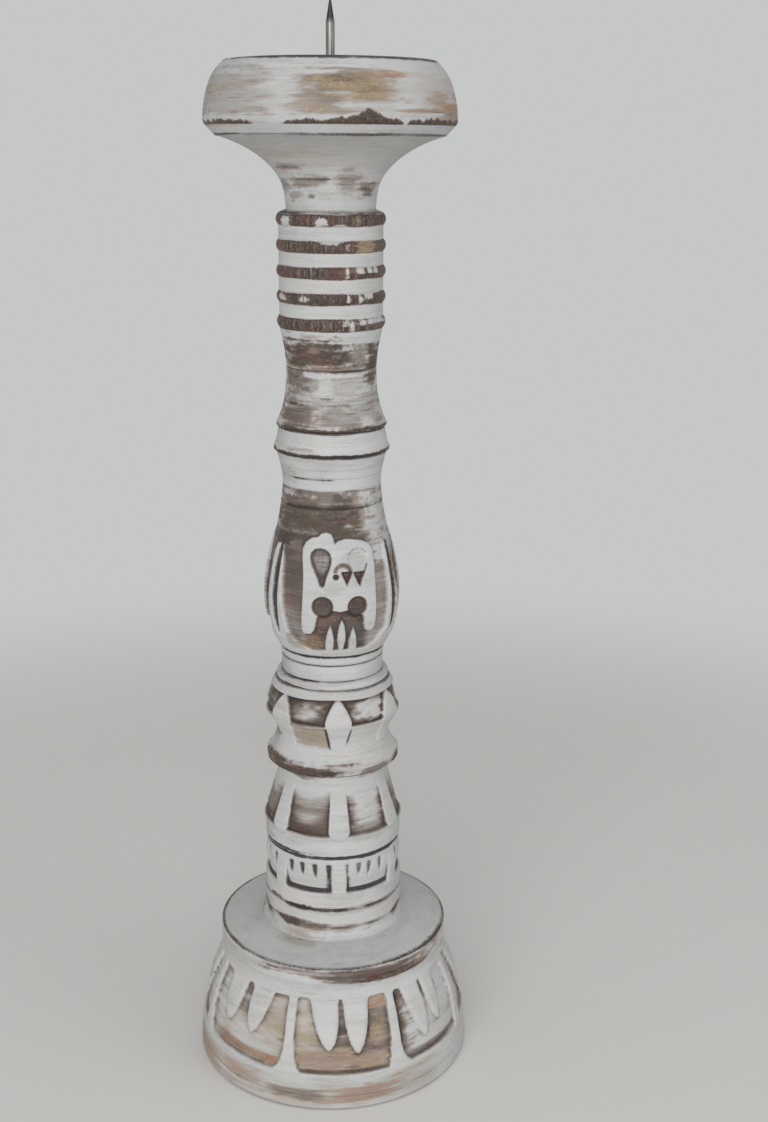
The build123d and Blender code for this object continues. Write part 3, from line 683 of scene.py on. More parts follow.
leaf_foot, leaf_height = standing("leaf_drum")
leaf_radius = 32.0
leaf_outline = (
    ((0.953, 0.0),),
    ((0.972, 0.02),),
    ((0.975, 0.218),),
    ((0.999, 0.28), (0.995, 0.32)),
    ((0.803, 0.795),),
    ((0.793, 0.90), (0.84, 1.0)),
)
ledge_height, ramp_top = leaf_foot + 10.9, leaf_foot + 33.0
leaf_side = ((0.0, leaf_foot + 8.0), (1.8, leaf_foot + 8.5), (3.6, leaf_foot + 9.8),
             (4.9, leaf_foot + 12.5), (4.6, leaf_foot + 17.0), (3.8, leaf_foot + 27.0),
             (2.9, leaf_foot + 34.0), (2.9, leaf_foot + 40.0))
leaf_profile = profile(leaf_outline, leaf_radius, leaf_height, leaf_foot, 0.5)
leaf = Turning("leaf_block", bored(leaf_profile, leaf_foot, leaf_height), 400, 13)
panel_depth = np.full(len(leaf.up), 9.0)
for turn in drum_turns:
    near, across, up = leaf.facing(turn)
    drift = 0.25 * wander(leaf.chance, across / 4, up / 5)
    inside_leaf = edge_distance(mirrored(leaf_side), across, up)
    panel_depth[near] = np.minimum(panel_depth[near], drift - inside_leaf)
    tip = np.abs(inside_leaf + drift)
    below_ledge = smooth(ledge_height + 0.2, ledge_height - 0.8, up)
    leaf.seam[near] += 0.45 * np.exp(-(tip / 0.45) ** 2) * below_ledge
panel_depth = np.minimum(panel_depth, leaf.up - ledge_height - 0.2 * wander(leaf.chance, leaf.turn / 8))
open_panel = smooth(-0.45, 0.45, panel_depth) * (leaf.out > 20)
fall = np.clip((ramp_top - leaf.up) / (ramp_top - ledge_height), 0, 1)
leaf.cut = ground_depth * open_panel * fall
# Darkening near the walls of each ramp, growing as the ramp is cut down: partly stain left in the corners,
# partly painted shade.
ramp_corner_shade_and_stain = np.exp(-np.maximum(panel_depth, 0) / 2.2) * smooth(0.02, 0.4, fall)
ramp_corner_shade_and_stain *= 1 - leaf.patch((126.0, 14.0, 29, 17, 0.4))
leaf.thin = open_panel * np.clip(
    0.55 * smooth(0.0, 0.6, fall) + 0.35 * smooth(0.7, 1.0, fall) + 0.7 * ramp_corner_shade_and_stain
    + 0.14 * cloud(leaf.chance, leaf.turn, leaf.up, 10, 1.6)
    - leaf.patch((125.0, 2.4, -30, 9, 0.15), (126.0, 12.0, 29, 15, 0.36), (125.0, 3.0, 150, 12, 0.3)), 0, 1)
# The first two patches darken the top of the block just under the lozenge drum's overhanging flange: a
# painted shadow.
leaf.thin += leaf.patch((144.8, 1.6, -44, 32, 0.6), (145.0, 1.4, 40, 20, 0.4),
                        (116.5, 1.8, -25, 22, 0.18), (116.0, 2.4, 26, 20, 0.2),
                        (112.5, 5.0, -78, 18, 0.25))
leaf.seam += 0.85 * ramp_corner_shade_and_stain * open_panel * smooth(0.0, 0.45, fall) * smooth(2.4, 0.3, panel_depth)
leaf.warm = open_panel * leaf.patch((126.0, 14.0, 29, 17, 0.25), (126.0, 14.0, 200, 90, 0.3))
leaf.rub = 0.02 + 0.06 * leaf.edge + leaf.strays(5, 109, 117, 0.6)
leaf.seam += leaf.patch((107.7, 0.9, 0, all_round, 0.95), (109.0, 1.0, -58, 30, 0.85),
                        (108.4, 0.8, 45, 25, 0.5), (146.3, 0.6, 0, all_round, 0.6))
leaf.rub[leaf.out < 0.75 * leaf_radius] = 1.0
leaf.made(whitewashed("leaf_whitewash", 3.0), "leaf_drum")


# Lozenge drum: a block with a thin flange at its foot and a swelling above it. Six lozenges stand between
# two rows of panels, the upper ones cut deep and left dark, the lower ones shallow and mostly filled with
# paint.
lozenge_foot, lozenge_height = standing("lozenge_drum")
lozenge_radius = 30.8
lozenge_outline = (
    ((0.951, 0.0),),
    ((0.977, 0.02),),
    ((0.977, 0.09),),
    ((0.867, 0.223), (0.839, 0.323), (0.880, 0.438), (0.961, 0.554), (1.0, 0.641), (0.964, 0.792),
     (0.903, 0.91), (0.831, 1.0)),
)
lower_foot, lower_top = 158.3, 168.9
upper_foot, upper_top = 170.6, 181.7
lozenge_side = ((2.9, 148.0), (3.3, 155.0), (3.6, 158.5), (4.6, 163.5), (5.9, 169.5), (6.25, 172.3),
                (5.6, 174.5), (3.6, 178.5), (1.6, 181.3), (0.0, 182.2))
lozenge_profile = profile(lozenge_outline, lozenge_radius, lozenge_height, lozenge_foot, 0.5)
lozenge = Turning("lozenge_block", bored(lozenge_profile, lozenge_foot, lozenge_height), 400, 14)
beside = np.full(len(lozenge.up), 9.0)
for turn in drum_turns:
    near, across, up = lozenge.facing(turn)
    drift = 0.3 * wander(lozenge.chance, across / 4, up / 5)
    beside[near] = np.minimum(beside[near], drift - edge_distance(mirrored(lozenge_side), across, up))
level = lozenge.up + 0.3 * wander(lozenge.chance, lozenge.turn / 9)
upper = np.minimum.reduce((beside, level - upper_foot, upper_top - level))
lower = np.minimum.reduce((beside, level - lower_foot, lower_top - level))
outside = lozenge.out > 20
lozenge.cut = ground_depth * outside * smooth(-0.45, 0.45, upper)
lozenge.cut += 0.8 * outside * smooth(-0.4, 0.4, lower) * smooth(157, 161, level)
# Darkening along the edges of the upper panels, in the wash and in the seam: partly stain left in the
# corners, partly painted shade.
upper_corner_shade_and_stain = np.exp(-np.maximum(upper, 0) / 1.7)
bright = lozenge.patch((176.6, 3.8, -27, 13, 0.42), (177.2, 5.0, 30, 18, 0.85), (176.0, 4.0, 88, 12, 0.5),
                       (176.0, 4.0, 150, 12, 0.6), (176.0, 4.0, 212, 12, 0.4))
cloudy = 0.8 - bright + 0.25 * cloud(lozenge.chance, lozenge.turn, lozenge.up, 6, 1.6)
lozenge.thin = outside * smooth(-0.45, 0.45, upper) * np.clip(cloudy + 0.5 * upper_corner_shade_and_stain, 0.1, 1)
lozenge.seam = outside * smooth(-0.2, 0.3, upper) * np.clip(1.05 - upper / 1.5, 0, 0.75)
lozenge.seam *= 1 - 0.6 * (bright > 0.6)
lined = np.exp(-(beside / 0.8) ** 2) * smooth(156, 160, level) * smooth(171, 169, level)
lozenge.seam = np.maximum(lozenge.seam, lined * outside * lozenge.patch(
    (165.0, 9.0, -12, 8, 1.0), (166.0, 6.0, 11, 4, 0.85), (164.0, 7.0, -41, 4, 0.6),
    (165.0, 9.0, -68, 8, 0.3), (165.0, 9.0, 60, 30, 0.3), (165.0, 9.0, 180, 100, 0.5)))
tan_panel = lozenge.patch((164.5, 9.0, -27, 24, 1.0), (164.5, 5.0, 150, 14, 0.8),
                          (164.5, 5.0, 274, 14, 0.6))
tan_panel *= smooth(-0.2, 0.6, np.minimum(beside, 170.8 - level)) * smooth(157.0, 160.0, level)
lozenge.thin += 0.62 * tan_panel
lozenge.warm = 0.68 * tan_panel
lozenge.rub = 0.02 + 0.1 * lozenge.edge + lozenge.patch(
    (148.6, 2.2, -66, 30, 0.7), (148.8, 1.9, -32, 24, 0.7), (148.4, 1.8, -9, 10, 0.95),
    (148.6, 2.0, 38, 15, 0.5), (148.8, 2.4, 66, 11, 0.82), (148.5, 1.8, 190, 60, 0.85),
    (149.0, 1.5, 110, 20, 0.7))
lozenge.thin += lozenge.patch((148.6, 3.0, -40, 46, 1.0), (148.4, 2.8, 37, 18, 0.75),
                              (149.0, 2.2, 12, 12, 0.34), (149.0, 2.6, 66, 12, 0.7),
                              (183.5, 2.5, 0, all_round, 0.16), (156.0, 6.0, -82, 12, 0.3))
lozenge.warm += lozenge.patch((148.2, 2.6, 30, 14, 0.35))
lozenge.seam += lozenge.patch((146.7, 0.6, 0, all_round, 0.8), (185.4, 0.6, 0, all_round, 0.62))
lozenge.rub[lozenge.out < 0.78 * lozenge_radius] = 1.0
lozenge.made(whitewashed("lozenge_whitewash", 4.0), "lozenge_drum")


# Neck ring: a thin turned ring with a bead below and a plain band above, threaded on the long dowel under
# the vase. It took the paint well, so only the fine dark lines in its grooves show.
ring_foot, ring_height = standing("neck_ring")
ring_radius = 25.3
ring_outline = (
    ((0.972, 0.0),),
    ((1.0, 0.10), (0.925, 0.233)),
    ((0.889, 0.247),),
    ((0.897, 0.28),),
    ((0.901, 0.713),),
    ((0.877, 0.727),),
    ((0.917, 0.867), (0.877, 1.0)),
)
ring_side = profile(ring_outline, ring_radius, ring_height, ring_foot, 0.4)
ring_hole = [(dowel_hole_radius, ring_foot + ring_height), (dowel_hole_radius, ring_foot)]
ring = Turning("ring_block", ring_side + ring_hole, 256, 15)
ring.rub = 0.02 + 0.06 * ring.edge + ring.strays(3, 187, 198, 0.5)
ring.thin = ring.patch((192.5, 5.5, -82, 22, 0.3), (187.5, 2.0, -30, 40, 0.2), (187.5, 2.0, 180, 90, 0.3))
ring.seam = 0.15 * ring.inner_edge + ring.patch(
    (185.8, 0.8, -45, 45, 0.95), (185.7, 0.6, 0, all_round, 0.62), (189.2, 0.5, -40, 40, 0.7),
    (189.2, 0.45, 0, all_round, 0.48), (196.3, 0.5, 0, all_round, 0.48), (200.4, 0.7, 0, all_round, 0.8))
ring.rub[ring.out < 20] = 1.0
ring.made(whitewashed("ring_whitewash", 5.0), "neck_ring")


# Carved vase: the swelling block at eye height. Three tablets with keyholes, hooks and little spears stand
# in dark sunk fields, with a grooved pair of ribs between each two. Above them the paint is rubbed off the
# narrow neck.
vase_foot, vase_height = standing("carved_vase")
vase_radius = 30.45
vase_outline = (
    ((0.742, 0.0),),
    ((0.775, 0.007),),
    ((0.933, 0.117), (1.0, 0.275), (0.916, 0.484), (0.785, 0.637), (0.729, 0.753), (0.706, 0.843),
     (0.732, 0.916), (0.798, 1.0)),
)
tablet_turns = (2.0, 122.0, 238.0)
tablet_outline = (
    (-13.0, 212.9), (-15.5, 212.8), (-16.6, 214.6), (-16.9, 220.0), (-16.7, 226.0), (-16.4, 233.0),
    (-16.1, 240.0), (-16.0, 246.0), (-15.4, 250.3), (-13.7, 253.2), (-11.4, 255.0), (-8.8, 255.6),
    (-7.4, 257.0), (-5.3, 257.6), (-3.2, 256.9), (-2.4, 255.0), (-1.9, 252.9), (-0.6, 254.0),
    (2.7, 254.8), (6.0, 254.4), (10.1, 253.6), (13.3, 251.8), (15.0, 249.2), (15.7, 244.5), (15.9, 240.0),
    (16.2, 232.0), (16.4, 224.0), (16.3, 218.0), (15.9, 215.0), (14.6, 213.3), (12.6, 213.1),
    (11.1, 214.6), (10.6, 218.0), (10.4, 221.0), (7.0, 223.6), (3.4, 224.2), (0.0, 223.6), (-3.6, 224.2),
    (-7.4, 223.6), (-10.4, 221.0), (-11.0, 218.0), (-11.6, 214.8))
field_outline = ((-22.2, 213.0), (-18.0, 208.0), (-12.0, 205.0), (12.0, 205.0), (17.0, 207.0),
                 (21.6, 213.0), (22.6, 222.0), (22.6, 232.0), (21.9, 239.0), (21.0, 245.0), (20.2, 251.0),
                 (26.0, 252.6), (26.0, 262.0), (-26.0, 262.0), (-26.0, 252.0), (-22.6, 250.6),
                 (-23.4, 245.0), (-24.1, 239.0), (-24.7, 232.0), (-24.5, 222.0))
keyhole_side = ((0.0, 234.4), (1.1, 235.0), (1.5, 236.8), (2.2, 239.0), (3.4, 241.6), (4.3, 244.2),
                (4.6, 246.6), (3.9, 249.0), (2.3, 250.5), (0.0, 251.0))
groove_width, groove_middle, groove_reach = 1.9, 231.0, 23.0
spears = ((-4.6, 217.6), (0.6, 220.6), (5.8, 216.4))
spear_side = ((0.5, 200.0), (1.2, 204.0), (1.9, 208.0), (1.85, 211.0), (1.2, 215.0), (0.0, 218.5))
vase_side = scribed(profile(vase_outline, vase_radius, vase_height, vase_foot, 0.5), (268.3, 279.9, 283.6))
vase = Turning("vase_block", bored(vase_side, vase_foot, vase_height), 416, 16)
plain = np.ones(len(vase.up))
for turn, (left_rib, right_rib) in zip(tablet_turns, ((-63.3, 57.0), (-60.0, 58.0), (-58.0, 58.5))):
    near, across, up = vase.facing(turn)
    drift = 0.25 * wander(vase.chance, across / 4, up / 4)
    field = edge_distance(field_outline, across, up) + drift
    tablet = edge_distance(tablet_outline, across, up) + drift
    deep = edge_distance(mirrored(keyhole_side, 1.0, -8.1), across, up)
    filled = edge_distance(mirrored([(a, b - 0.4) for a, b in keyhole_side], 1.0, 8.0), across, up)
    for place, height, reach in ((-8.0, 225.8, 4.5), (7.6, 225.6, 4.3)):
        deep = np.maximum(deep, reach - np.hypot(across - place, up - height))
    tips = 1.1 - np.hypot((across + 1.9) / 1.1, (up - 238.8) / 1.0)
    for place, height in ((3.0, 235.4), (8.6, 235.0)):
        wedge = np.abs(across - place) - 0.44 * (up - height)
        tips = np.maximum(tips, np.minimum(-wedge, height + 5.4 - up))
    hook = 0.55 - np.abs(np.hypot((across - 1.2) / 3.3, (up - 240.8) / 3.0) - 1) * 2.2
    hook = np.minimum(hook, up - 240.6)
    tablet = np.minimum(tablet, -np.maximum(deep, tips) - drift)
    for place, top in spears:
        spear = mirrored([(a, b + top - 218.5) for a, b in spear_side], 1.0, place)
        tablet = np.maximum(tablet, edge_distance(spear, across, up))
    ground = np.minimum(field, -tablet)
    carved = smooth(-0.45, 0.45, ground)
    plain[near] = np.minimum(plain[near], smooth(0.5, -0.3, tablet))
    soft = smooth(-0.6, 1.2, np.maximum(filled, hook)) * smooth(0.0, 1.0, tablet)
    vase.cut[near] = np.maximum(vase.cut[near], ground_depth * carved * smooth(258, 236, up) + 0.8 * soft)
    inside = np.maximum(deep, tips)
    rim = np.exp(-np.maximum(np.where(inside > -1, inside, -tablet) - 0.1, 0) / 0.9)
    rim *= carved * smooth(264, 256, up)
    shadow = 0.45 * smooth(-0.3, 0.4, hook)
    by_filled = filled > -1
    shadow += 0.5 * np.exp(-np.abs(filled - 0.2) / 0.7) * smooth(246, 249, up) * by_filled
    right_of_filled = smooth(245, 243, up) * (across > 8.5) * by_filled
    shadow += 0.8 * np.exp(-np.abs(filled - 0.2) / 0.6) * right_of_filled
    open_side = smooth(10, 15, across) * smooth(-0.2, -1.2, inside) * (np.abs(turn) < 90)
    vase.seam[near] = np.maximum.reduce((vase.seam[near], 0.8 * rim * (1 - 0.3 * open_side),
                                         shadow * (tablet > -0.2),
                                         0.46 * smooth(0.2, 1.2, deep) * smooth(236, 239, up),
                                         0.36 * carved * smooth(-14, -17, across) * smooth(256, 250, up)))
    greyed = 0.6 * smooth(0.4, 2.0, deep) * smooth(238, 241, up)
    worn = 0.95 - greyed - 0.48 * open_side - (0.2 + 0.2 * smooth(226, 214, up)) * smooth(-14, -17, across)
    worn += 0.15 * wander(vase.chance, across / 2, up / 2)
    vase.thin[near] = np.maximum(vase.thin[near], carved * smooth(260, 254, up) * worn)
    vase.thin[near] = np.maximum(vase.thin[near], 0.5 * smooth(-0.5, 0.3, hook) * (tablet > 0))
    low_left = smooth(213, 208, up) * smooth(0, -8, across)
    vase.warm[near] += carved * (0.15 * smooth(234, 224, up) + 0.1 * low_left)
    for rib in (left_rib, right_rib):
        near, across, up = vase.facing(turn + rib)
        narrowing = np.abs((up - groove_middle) / groove_reach) ** 4
        groove = groove_width - np.abs(across) - groove_width * narrowing
        hollow = smooth(-0.3, 0.9, groove)
        vase.cut[near] = np.maximum(vase.cut[near], 1.5 * hollow)
        vase.seam[near] = np.maximum(vase.seam[near], 0.85 * smooth(-0.2, 0.7, groove))
vase.thin = np.clip(vase.thin - vase.patch((234.0, 24.0, -86, 10, 0.35), (250.0, 8.0, 60, 24, 0.6)), 0, 1)
neck_wear = vase.patch((265.0, 16.0, -30, 74, 0.9), (260.0, 10.0, -8, 44, 0.95),
                       (266.0, 12.0, 180, 96, 0.75), (253.0, 4.0, -60, 15, 0.95),
                       (267.0, 10.0, 62, 36, 0.25), (264.0, 10.0, 28, 9, 0.6))
neck_wear -= vase.patch((271.0, 4.0, -12, 8, 0.25), (270.0, 6.0, 36, 9, 0.3),
                        (261.0, 7.0, 42, 12, 0.3), (271.0, 4.5, -62, 18, 0.1))
neck_wear = np.clip(neck_wear, 0, 1)
paint_line = vase.up + 0.3 * wander(vase.chance, vase.turn / 6)
neck_wear *= plain * smooth(275.4, 274.4, paint_line) * smooth(249.4, 250.6, vase.up)
vase.thin = np.maximum(vase.thin, neck_wear)
vase.thin += vase.patch((281.0, 5.0, -68, 24, 0.3), (286.0, 3.0, -12, 14, 0.2),
                        (209.0, 4.0, -42, 10, 0.35), (230.0, 20.0, 66, 10, 0.25),
                        (225.0, 16.0, -84, 12, 0.35), (244.0, 8.0, 15, 15, 0.2),
                        (234.0, 4.0, -3, 8, 0.24))
vase.rub = 0.02 + 0.45 * neck_wear
vase.warm += vase.patch((271.0, 4.0, -30, 14, 0.35), (271.0, 4.0, 26, 9, 0.5), (262.0, 6.0, 40, 12, 0.5),
                        (208.5, 4.0, -28, 14, 0.3), (230.0, 20.0, 68, 10, 0.9))
vase.seam += vase.patch((200.7, 0.7, 0, all_round, 0.85), (267.2, 0.8, -20, 60, 0.8),
                        (267.2, 0.7, 0, all_round, 0.6), (279.7, 0.55, -36, 34, 0.72),
                        (283.6, 0.5, -15, 10, 0.45), (275.0, 0.5, -25, 60, 0.35),
                        (289.3, 0.6, 0, all_round, 0.7))
vase.rub[vase.out < 20.3] = 1.0
vase.made(whitewashed("vase_whitewash", 6.0), "carved_vase")


# Collar ring: a thin bevelled ring on top of the vase, threaded on the upper long dowel. Its lower edge is
# the widest, so the rag took the paint off it all round.
collar_foot, collar_height = standing("collar_ring")
collar_radius = 25.2
collar_outline = (
    ((0.976, 0.0),),
    ((1.0, 0.048),),
    ((1.0, 0.133),),
    ((0.960, 0.43), (0.933, 0.714), (0.913, 1.0)),
)
collar_hole = [(dowel_hole_radius, collar_foot + collar_height), (dowel_hole_radius, collar_foot)]
collar_side = profile(collar_outline, collar_radius, collar_height, collar_foot, 0.4)
collar = Turning("collar_block", collar_side + collar_hole, 256, 17)
collar.rub = 0.02 + 0.06 * collar.edge + collar.patch(
    (290.1, 1.3, 0, all_round, 0.9), (291.6, 1.0, -46, 10, 0.5)) + collar.strays(3, 291, 298, 0.5)
collar.seam = collar.patch((289.8, 0.7, 0, all_round, 0.8), (290.4, 0.8, 8, 48, 0.95),
                           (299.8, 0.5, 0, all_round, 0.7))
collar.thin = collar.patch((294.0, 5.0, -78, 18, 0.2), (292.0, 2.0, -40, 16, 0.25))
collar.rub[collar.out < 20] = 1.0
collar.made(whitewashed("collar_whitewash", 7.0), "collar_ring")


# Ringed neck: the waisted spindle between collar and pan, turned with five beads round its upper half. The
# beads are rubbed down to the stained wood, and the fine pores of the grain show on them as upright
# strokes.
neck_foot, neck_height = standing("ringed_neck")
neck_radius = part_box("ringed_neck")[1].x / mm
waist_outline = (
    ((0.967, 0.0),),
    ((1.0, 0.007),),
    ((1.0, 0.016),),
    ((0.887, 0.093), (0.824, 0.187), (0.812, 0.247), (0.828, 0.335), (0.904, 0.445)),
)
bead_height, bead_radius, barrel_radius = 4.9, 23.1, 22.05
bead_feet = [neck_foot + neck_height - 1.2 - bead_height - 10.6 * count for count in (4, 3, 2, 1, 0)]
waist = scribed(profile(waist_outline, neck_radius, neck_height, neck_foot, 0.4), (311.4, 314.3, 325.7))
barrel = [((waist[-1].x, waist[-1].y),)]
for foot in bead_feet:
    barrel += [((barrel_radius, foot),),
               ((bead_radius, foot + bead_height / 2), (barrel_radius, foot + bead_height))]
barrel.append(((19.4, neck_foot + neck_height),))
neck_side = waist + profile(barrel, 1, 1, 0, 0.4)[1:]
neck = Turning("neck_block", bored(neck_side, neck_foot, neck_height), 256, 18)
on_bead = np.zeros(len(neck.up))
for foot in bead_feet:
    ragged = 0.35 * wander(neck.chance, neck.turn / 9) + 0.2 * wander(neck.chance, neck.turn / 3)
    on_bead = np.maximum(on_bead, smooth(2.9, 2.0, np.abs(neck.up - foot - bead_height / 2) + ragged))
    neck.seam += neck.patch((foot, 0.5, 0, all_round, 0.35), (foot + bead_height, 0.5, 0, all_round, 0.35))
neck.pores = on_bead
kept_paint = neck.patch(
    (387.0, 2.3, -61, 8, 0.95), (386.6, 2.0, -15, 6, 0.9), (384.8, 1.2, 5, 6, 0.8),
    (379.2, 1.4, -6, 13, 0.95), (377.0, 2.0, 12, 3, 0.5), (367.0, 2.4, 12, 2, 0.9),
    (367.4, 1.7, 27.5, 4, 0.9), (367.6, 1.6, 40, 3, 0.8), (367.6, 1.6, 49, 4, 0.8),
    (355.8, 1.2, -68, 8, 0.6), (355.8, 1.4, -35, 5, 0.5), (356.5, 2.0, 13.5, 2, 0.8),
    (356.2, 2.4, 27, 3, 0.95), (356.8, 2.0, 38, 8, 0.8), (346.4, 1.4, 44, 28, 0.8),
    (344.0, 1.6, 18, 4, 0.5), (387.0, 2.2, 150, 8, 0.8), (366.8, 2.2, 205, 20, 0.7),
    (355.8, 2.2, 130, 16, 0.8))
neck.rub = 0.02 + 0.9 * on_bead * (1 - kept_paint) + neck.patch(
    (330.3, 2.2, -24, 34, 0.6), (329.5, 1.0, 26, 22, 0.45), (329.0, 5.0, 60, 17, 0.55),
    (324.9, 0.9, 22, 40, 0.55), (322.6, 1.6, -54, 12, 0.6), (321.0, 2.2, 55, 10, 0.62),
    (301.0, 1.3, 0, all_round, 0.85), (302.5, 2.0, -55, 12, 0.62), (331.0, 6.0, 180, 70, 0.6))
neck.thin = neck.patch(
    (332.6, 6.6, -30, 56, 1.0), (329.5, 7.0, 60, 20, 0.95), (318.2, 1.2, -42, 12, 0.7),
    (326.6, 2.4, 6, 60, 0.6), (321.0, 6.0, -58, 22, 0.7), (318.0, 4.0, -36, 18, 0.4),
    (322.0, 5.0, 55, 14, 0.85), (306.5, 7.5, -48, 34, 0.76), (306.5, 7.5, 2, 40, 0.5),
    (308.0, 7.0, 44, 28, 0.45), (313.0, 1.8, 0, all_round, 0.4), (315.5, 2.4, 50, 24, 0.35),
    (310.0, 12.0, 180, 110, 0.6), (339.8, 2.2, -30, 20, 0.36), (319.0, 5.0, 12, 34, 0.3),
    (332.0, 7.0, 180, 100, 0.7), (332.0, 6.0, 30, 16, 0.6))
# The second patch takes wash off a spot at the foot of the waist, on its right: a painted highlight.
neck.thin -= neck.patch((334.6, 1.4, -26, 8, 0.2), (304.0, 2.0, 38, 8, 0.3), (307.0, 4.0, -22, 8, 0.15))
neck.thin = np.clip(neck.thin, 0, 1)
neck.warm = neck.patch((377.4, 3.0, 34, 14, 0.85), (387.0, 3.0, 25, 5, 0.4), (334.6, 1.2, -26, 7, 0.35),
                       (307.0, 5.0, -28, 18, 0.3), (366.8, 3.0, 12, 12, 0.3), (377.2, 3.0, 190, 30, 0.6))
neck.seam += neck.patch((300.3, 0.7, 0, all_round, 0.85), (311.4, 0.5, 0, all_round, 0.5),
                        (314.2, 0.5, -8, 34, 0.72), (325.4, 0.5, 24, 40, 0.62),
                        (337.4, 0.5, -30, 50, 0.5), (390.6, 0.6, 0, all_round, 0.5))
neck.seam += 0.35 * on_bead * neck.patch((387.0, 3.0, 0, 12, 1.0), (355.8, 3.0, 17, 5, 1.0),
                                         (344.6, 3.0, -55, 14, 0.8))
neck.rub[neck.out < 19] = 1.0
neck.made(whitewashed("neck_whitewash", 8.0), "ringed_neck")


# Candle pan: a trumpet-shaped cup on top of the neck, with a bulging wall and a shallow dish that takes a
# pillar candle. The paint on its wall is thin and streaky, and the sharp lower edge is worn through to the
# stain.
pan_foot, pan_height = standing("candle_pan")
pan_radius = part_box("candle_pan")[1].x / mm
pan_outline = (
    ((0.360, 0.0),),
    ((0.362, 0.04), (0.392, 0.181), (0.488, 0.303), (0.669, 0.419), (0.912, 0.502)),
    ((0.908, 0.508),),
    ((0.922, 0.515),),
    ((0.992, 0.58),),
    ((1.0, 0.602),),
    ((0.983, 0.739), (0.939, 0.871), (0.895, 0.936), (0.836, 0.993)),
    ((0.823, 1.0),),
)
dish_radius, dish_floor_radius, dish_depth = 39.0, 37.5, 5.0
spike_hole_radius, pan_bore = 2.05, 14.1
pan_top = pan_foot + pan_height
pan_bores = [(spike_hole_radius, pan_foot + pan_bore), (dowel_hole_radius, pan_foot + pan_bore),
             (dowel_hole_radius, pan_foot)]
pan_dish = profile((((dish_radius, pan_top),), ((dish_floor_radius, pan_top - dish_depth),),
                    ((spike_hole_radius, pan_top - dish_depth),)), 1, 1, 0, 1.5)
pan_side = profile(pan_outline, pan_radius, pan_height, pan_foot, 0.5)
pan = Turning("pan_block", pan_bores + pan_side + pan_dish, 304, 19)
in_dish = (pan.up > pan_top - dish_depth - 0.1) & (pan.out < dish_radius + 0.1)
worn_crest = ((-180, 426.2), (-130, 427.4), (-100, 425.8), (-75, 426.4), (-56, 426.8), (-46, 426.6),
              (-40, 425.6), (-36, 424.4), (-27, 424.4), (-23, 426.8), (-14, 427.6), (-4, 427.4),
              (2, 427.6), (5, 428.6), (8, 430.4), (11, 430.8), (14, 430.7), (17, 428.6), (20, 427.6),
              (27, 427.3), (29, 424.6), (31, 427.0), (40, 427.4), (75, 427.4), (120, 427.6), (180, 426.2))
jagged = 0.4 * cloud(pan.chance, pan.turn, pan.up, 4, 30)
jagged += 0.8 * cloud(pan.chance, pan.turn, pan.up, 1.5, 30)
crest = np.interp(pan.turn, *zip(*worn_crest)) + jagged
lower_edge = smooth(0.9, -1.6, pan.up - crest) * smooth(424.2, 424.9, pan.up) * (pan.out > 0.9 * pan_radius)
pan.pores = 0.5 * smooth(424.0, 425.0, pan.up) * smooth(432.0, 430.0, pan.up)
pan.rub = 0.03 + 0.05 * pan.edge + 0.82 * lower_edge + pan.patch(
    (441.0, 2.4, 2, 9, 0.35), (438.8, 3.0, 16, 7, 0.35), (403.6, 0.8, -26, 26, 0.45),
    (401.6, 1.4, -76, 14, 0.25), (396.8, 0.7, -28, 6, 0.5), (399.2, 2.2, 44, 13, 0.35),
    (402.0, 1.0, 62, 14, 0.4), (408.4, 0.7, -52, 16, 0.4), (403.2, 1.0, 2, 6, 0.42),
    (404.0, 4.0, 180, 60, 0.5))
pan.thin = 0.1 + pan.patch(
    (438.8, 5.6, 2, 23, 0.82), (436.0, 3.0, -12, 10, 0.6), (431.5, 4.0, -9, 12, 0.6),
    (437.5, 9.0, 52, 36, 0.18), (437.0, 8.0, 4, 34, 0.3), (433.5, 5.0, 52, 10, 0.42),
    (429.8, 0.8, 46, 20, 0.75), (430.0, 3.2, 64, 14, 0.6), (436.0, 10.0, -64, 36, 0.32),
    (433.0, 6.0, -31, 8, 0.1), (414.0, 8.0, 0, all_round, 0.14), (402.8, 2.2, -34, 24, 0.45),
    (401.0, 3.0, -78, 20, 0.35), (399.4, 3.4, 45, 18, 0.45), (402.0, 6.0, 14, 16, 0.35),
    (397.0, 2.0, -52, 12, 0.35), (396.8, 1.0, -29, 6, 0.5), (408.5, 1.4, -48, 18, 0.4),
    (434.0, 10.0, 180, 96, 0.45))
pan.thin -= pan.patch((433.0, 3.0, 30, 7, 0.2), (396.0, 4.0, -10, 16, 0.3))
pan.thin = np.clip(pan.thin, 0, 1)
pan.warm = pan.patch((438.0, 7.0, 4, 34, 0.62), (431.0, 4.0, -10, 13, 0.6), (437.0, 9.0, 54, 34, 1.5),
                     (433.0, 4.0, 54, 7, 1.4), (436.0, 8.0, -58, 24, 0.45), (423.0, 2.0, -40, 44, 0.8),
                     (414.0, 7.0, 0, all_round, 0.35), (402.5, 1.6, -34, 18, 0.4),
                     (434.0, 8.0, 150, 40, 0.8), (434.0, 8.0, 220, 20, 0.5))
pan.warm -= pan.patch((441.5, 1.6, 2, 8, 0.2), (433.5, 1.6, -4, 6, 0.2))
pan.warm *= 1 - smooth(0.3, 0.9, lower_edge)
pan.seam = pan.patch((449.5, 0.7, 0, all_round, 0.75)) * smooth(0.79, 0.82, pan.out / pan_radius)
pan.seam += pan.patch((420.9, 0.6, 0, all_round, 0.62), (403.6, 0.6, -28, 22, 0.6),
                      (391.3, 0.5, 0, all_round, 0.4), (401.8, 1.2, -78, 18, 0.45),
                      (399.0, 2.0, 45, 13, 0.5), (408.4, 0.6, -50, 16, 0.45), (396.8, 0.8, -28, 6, 0.55))
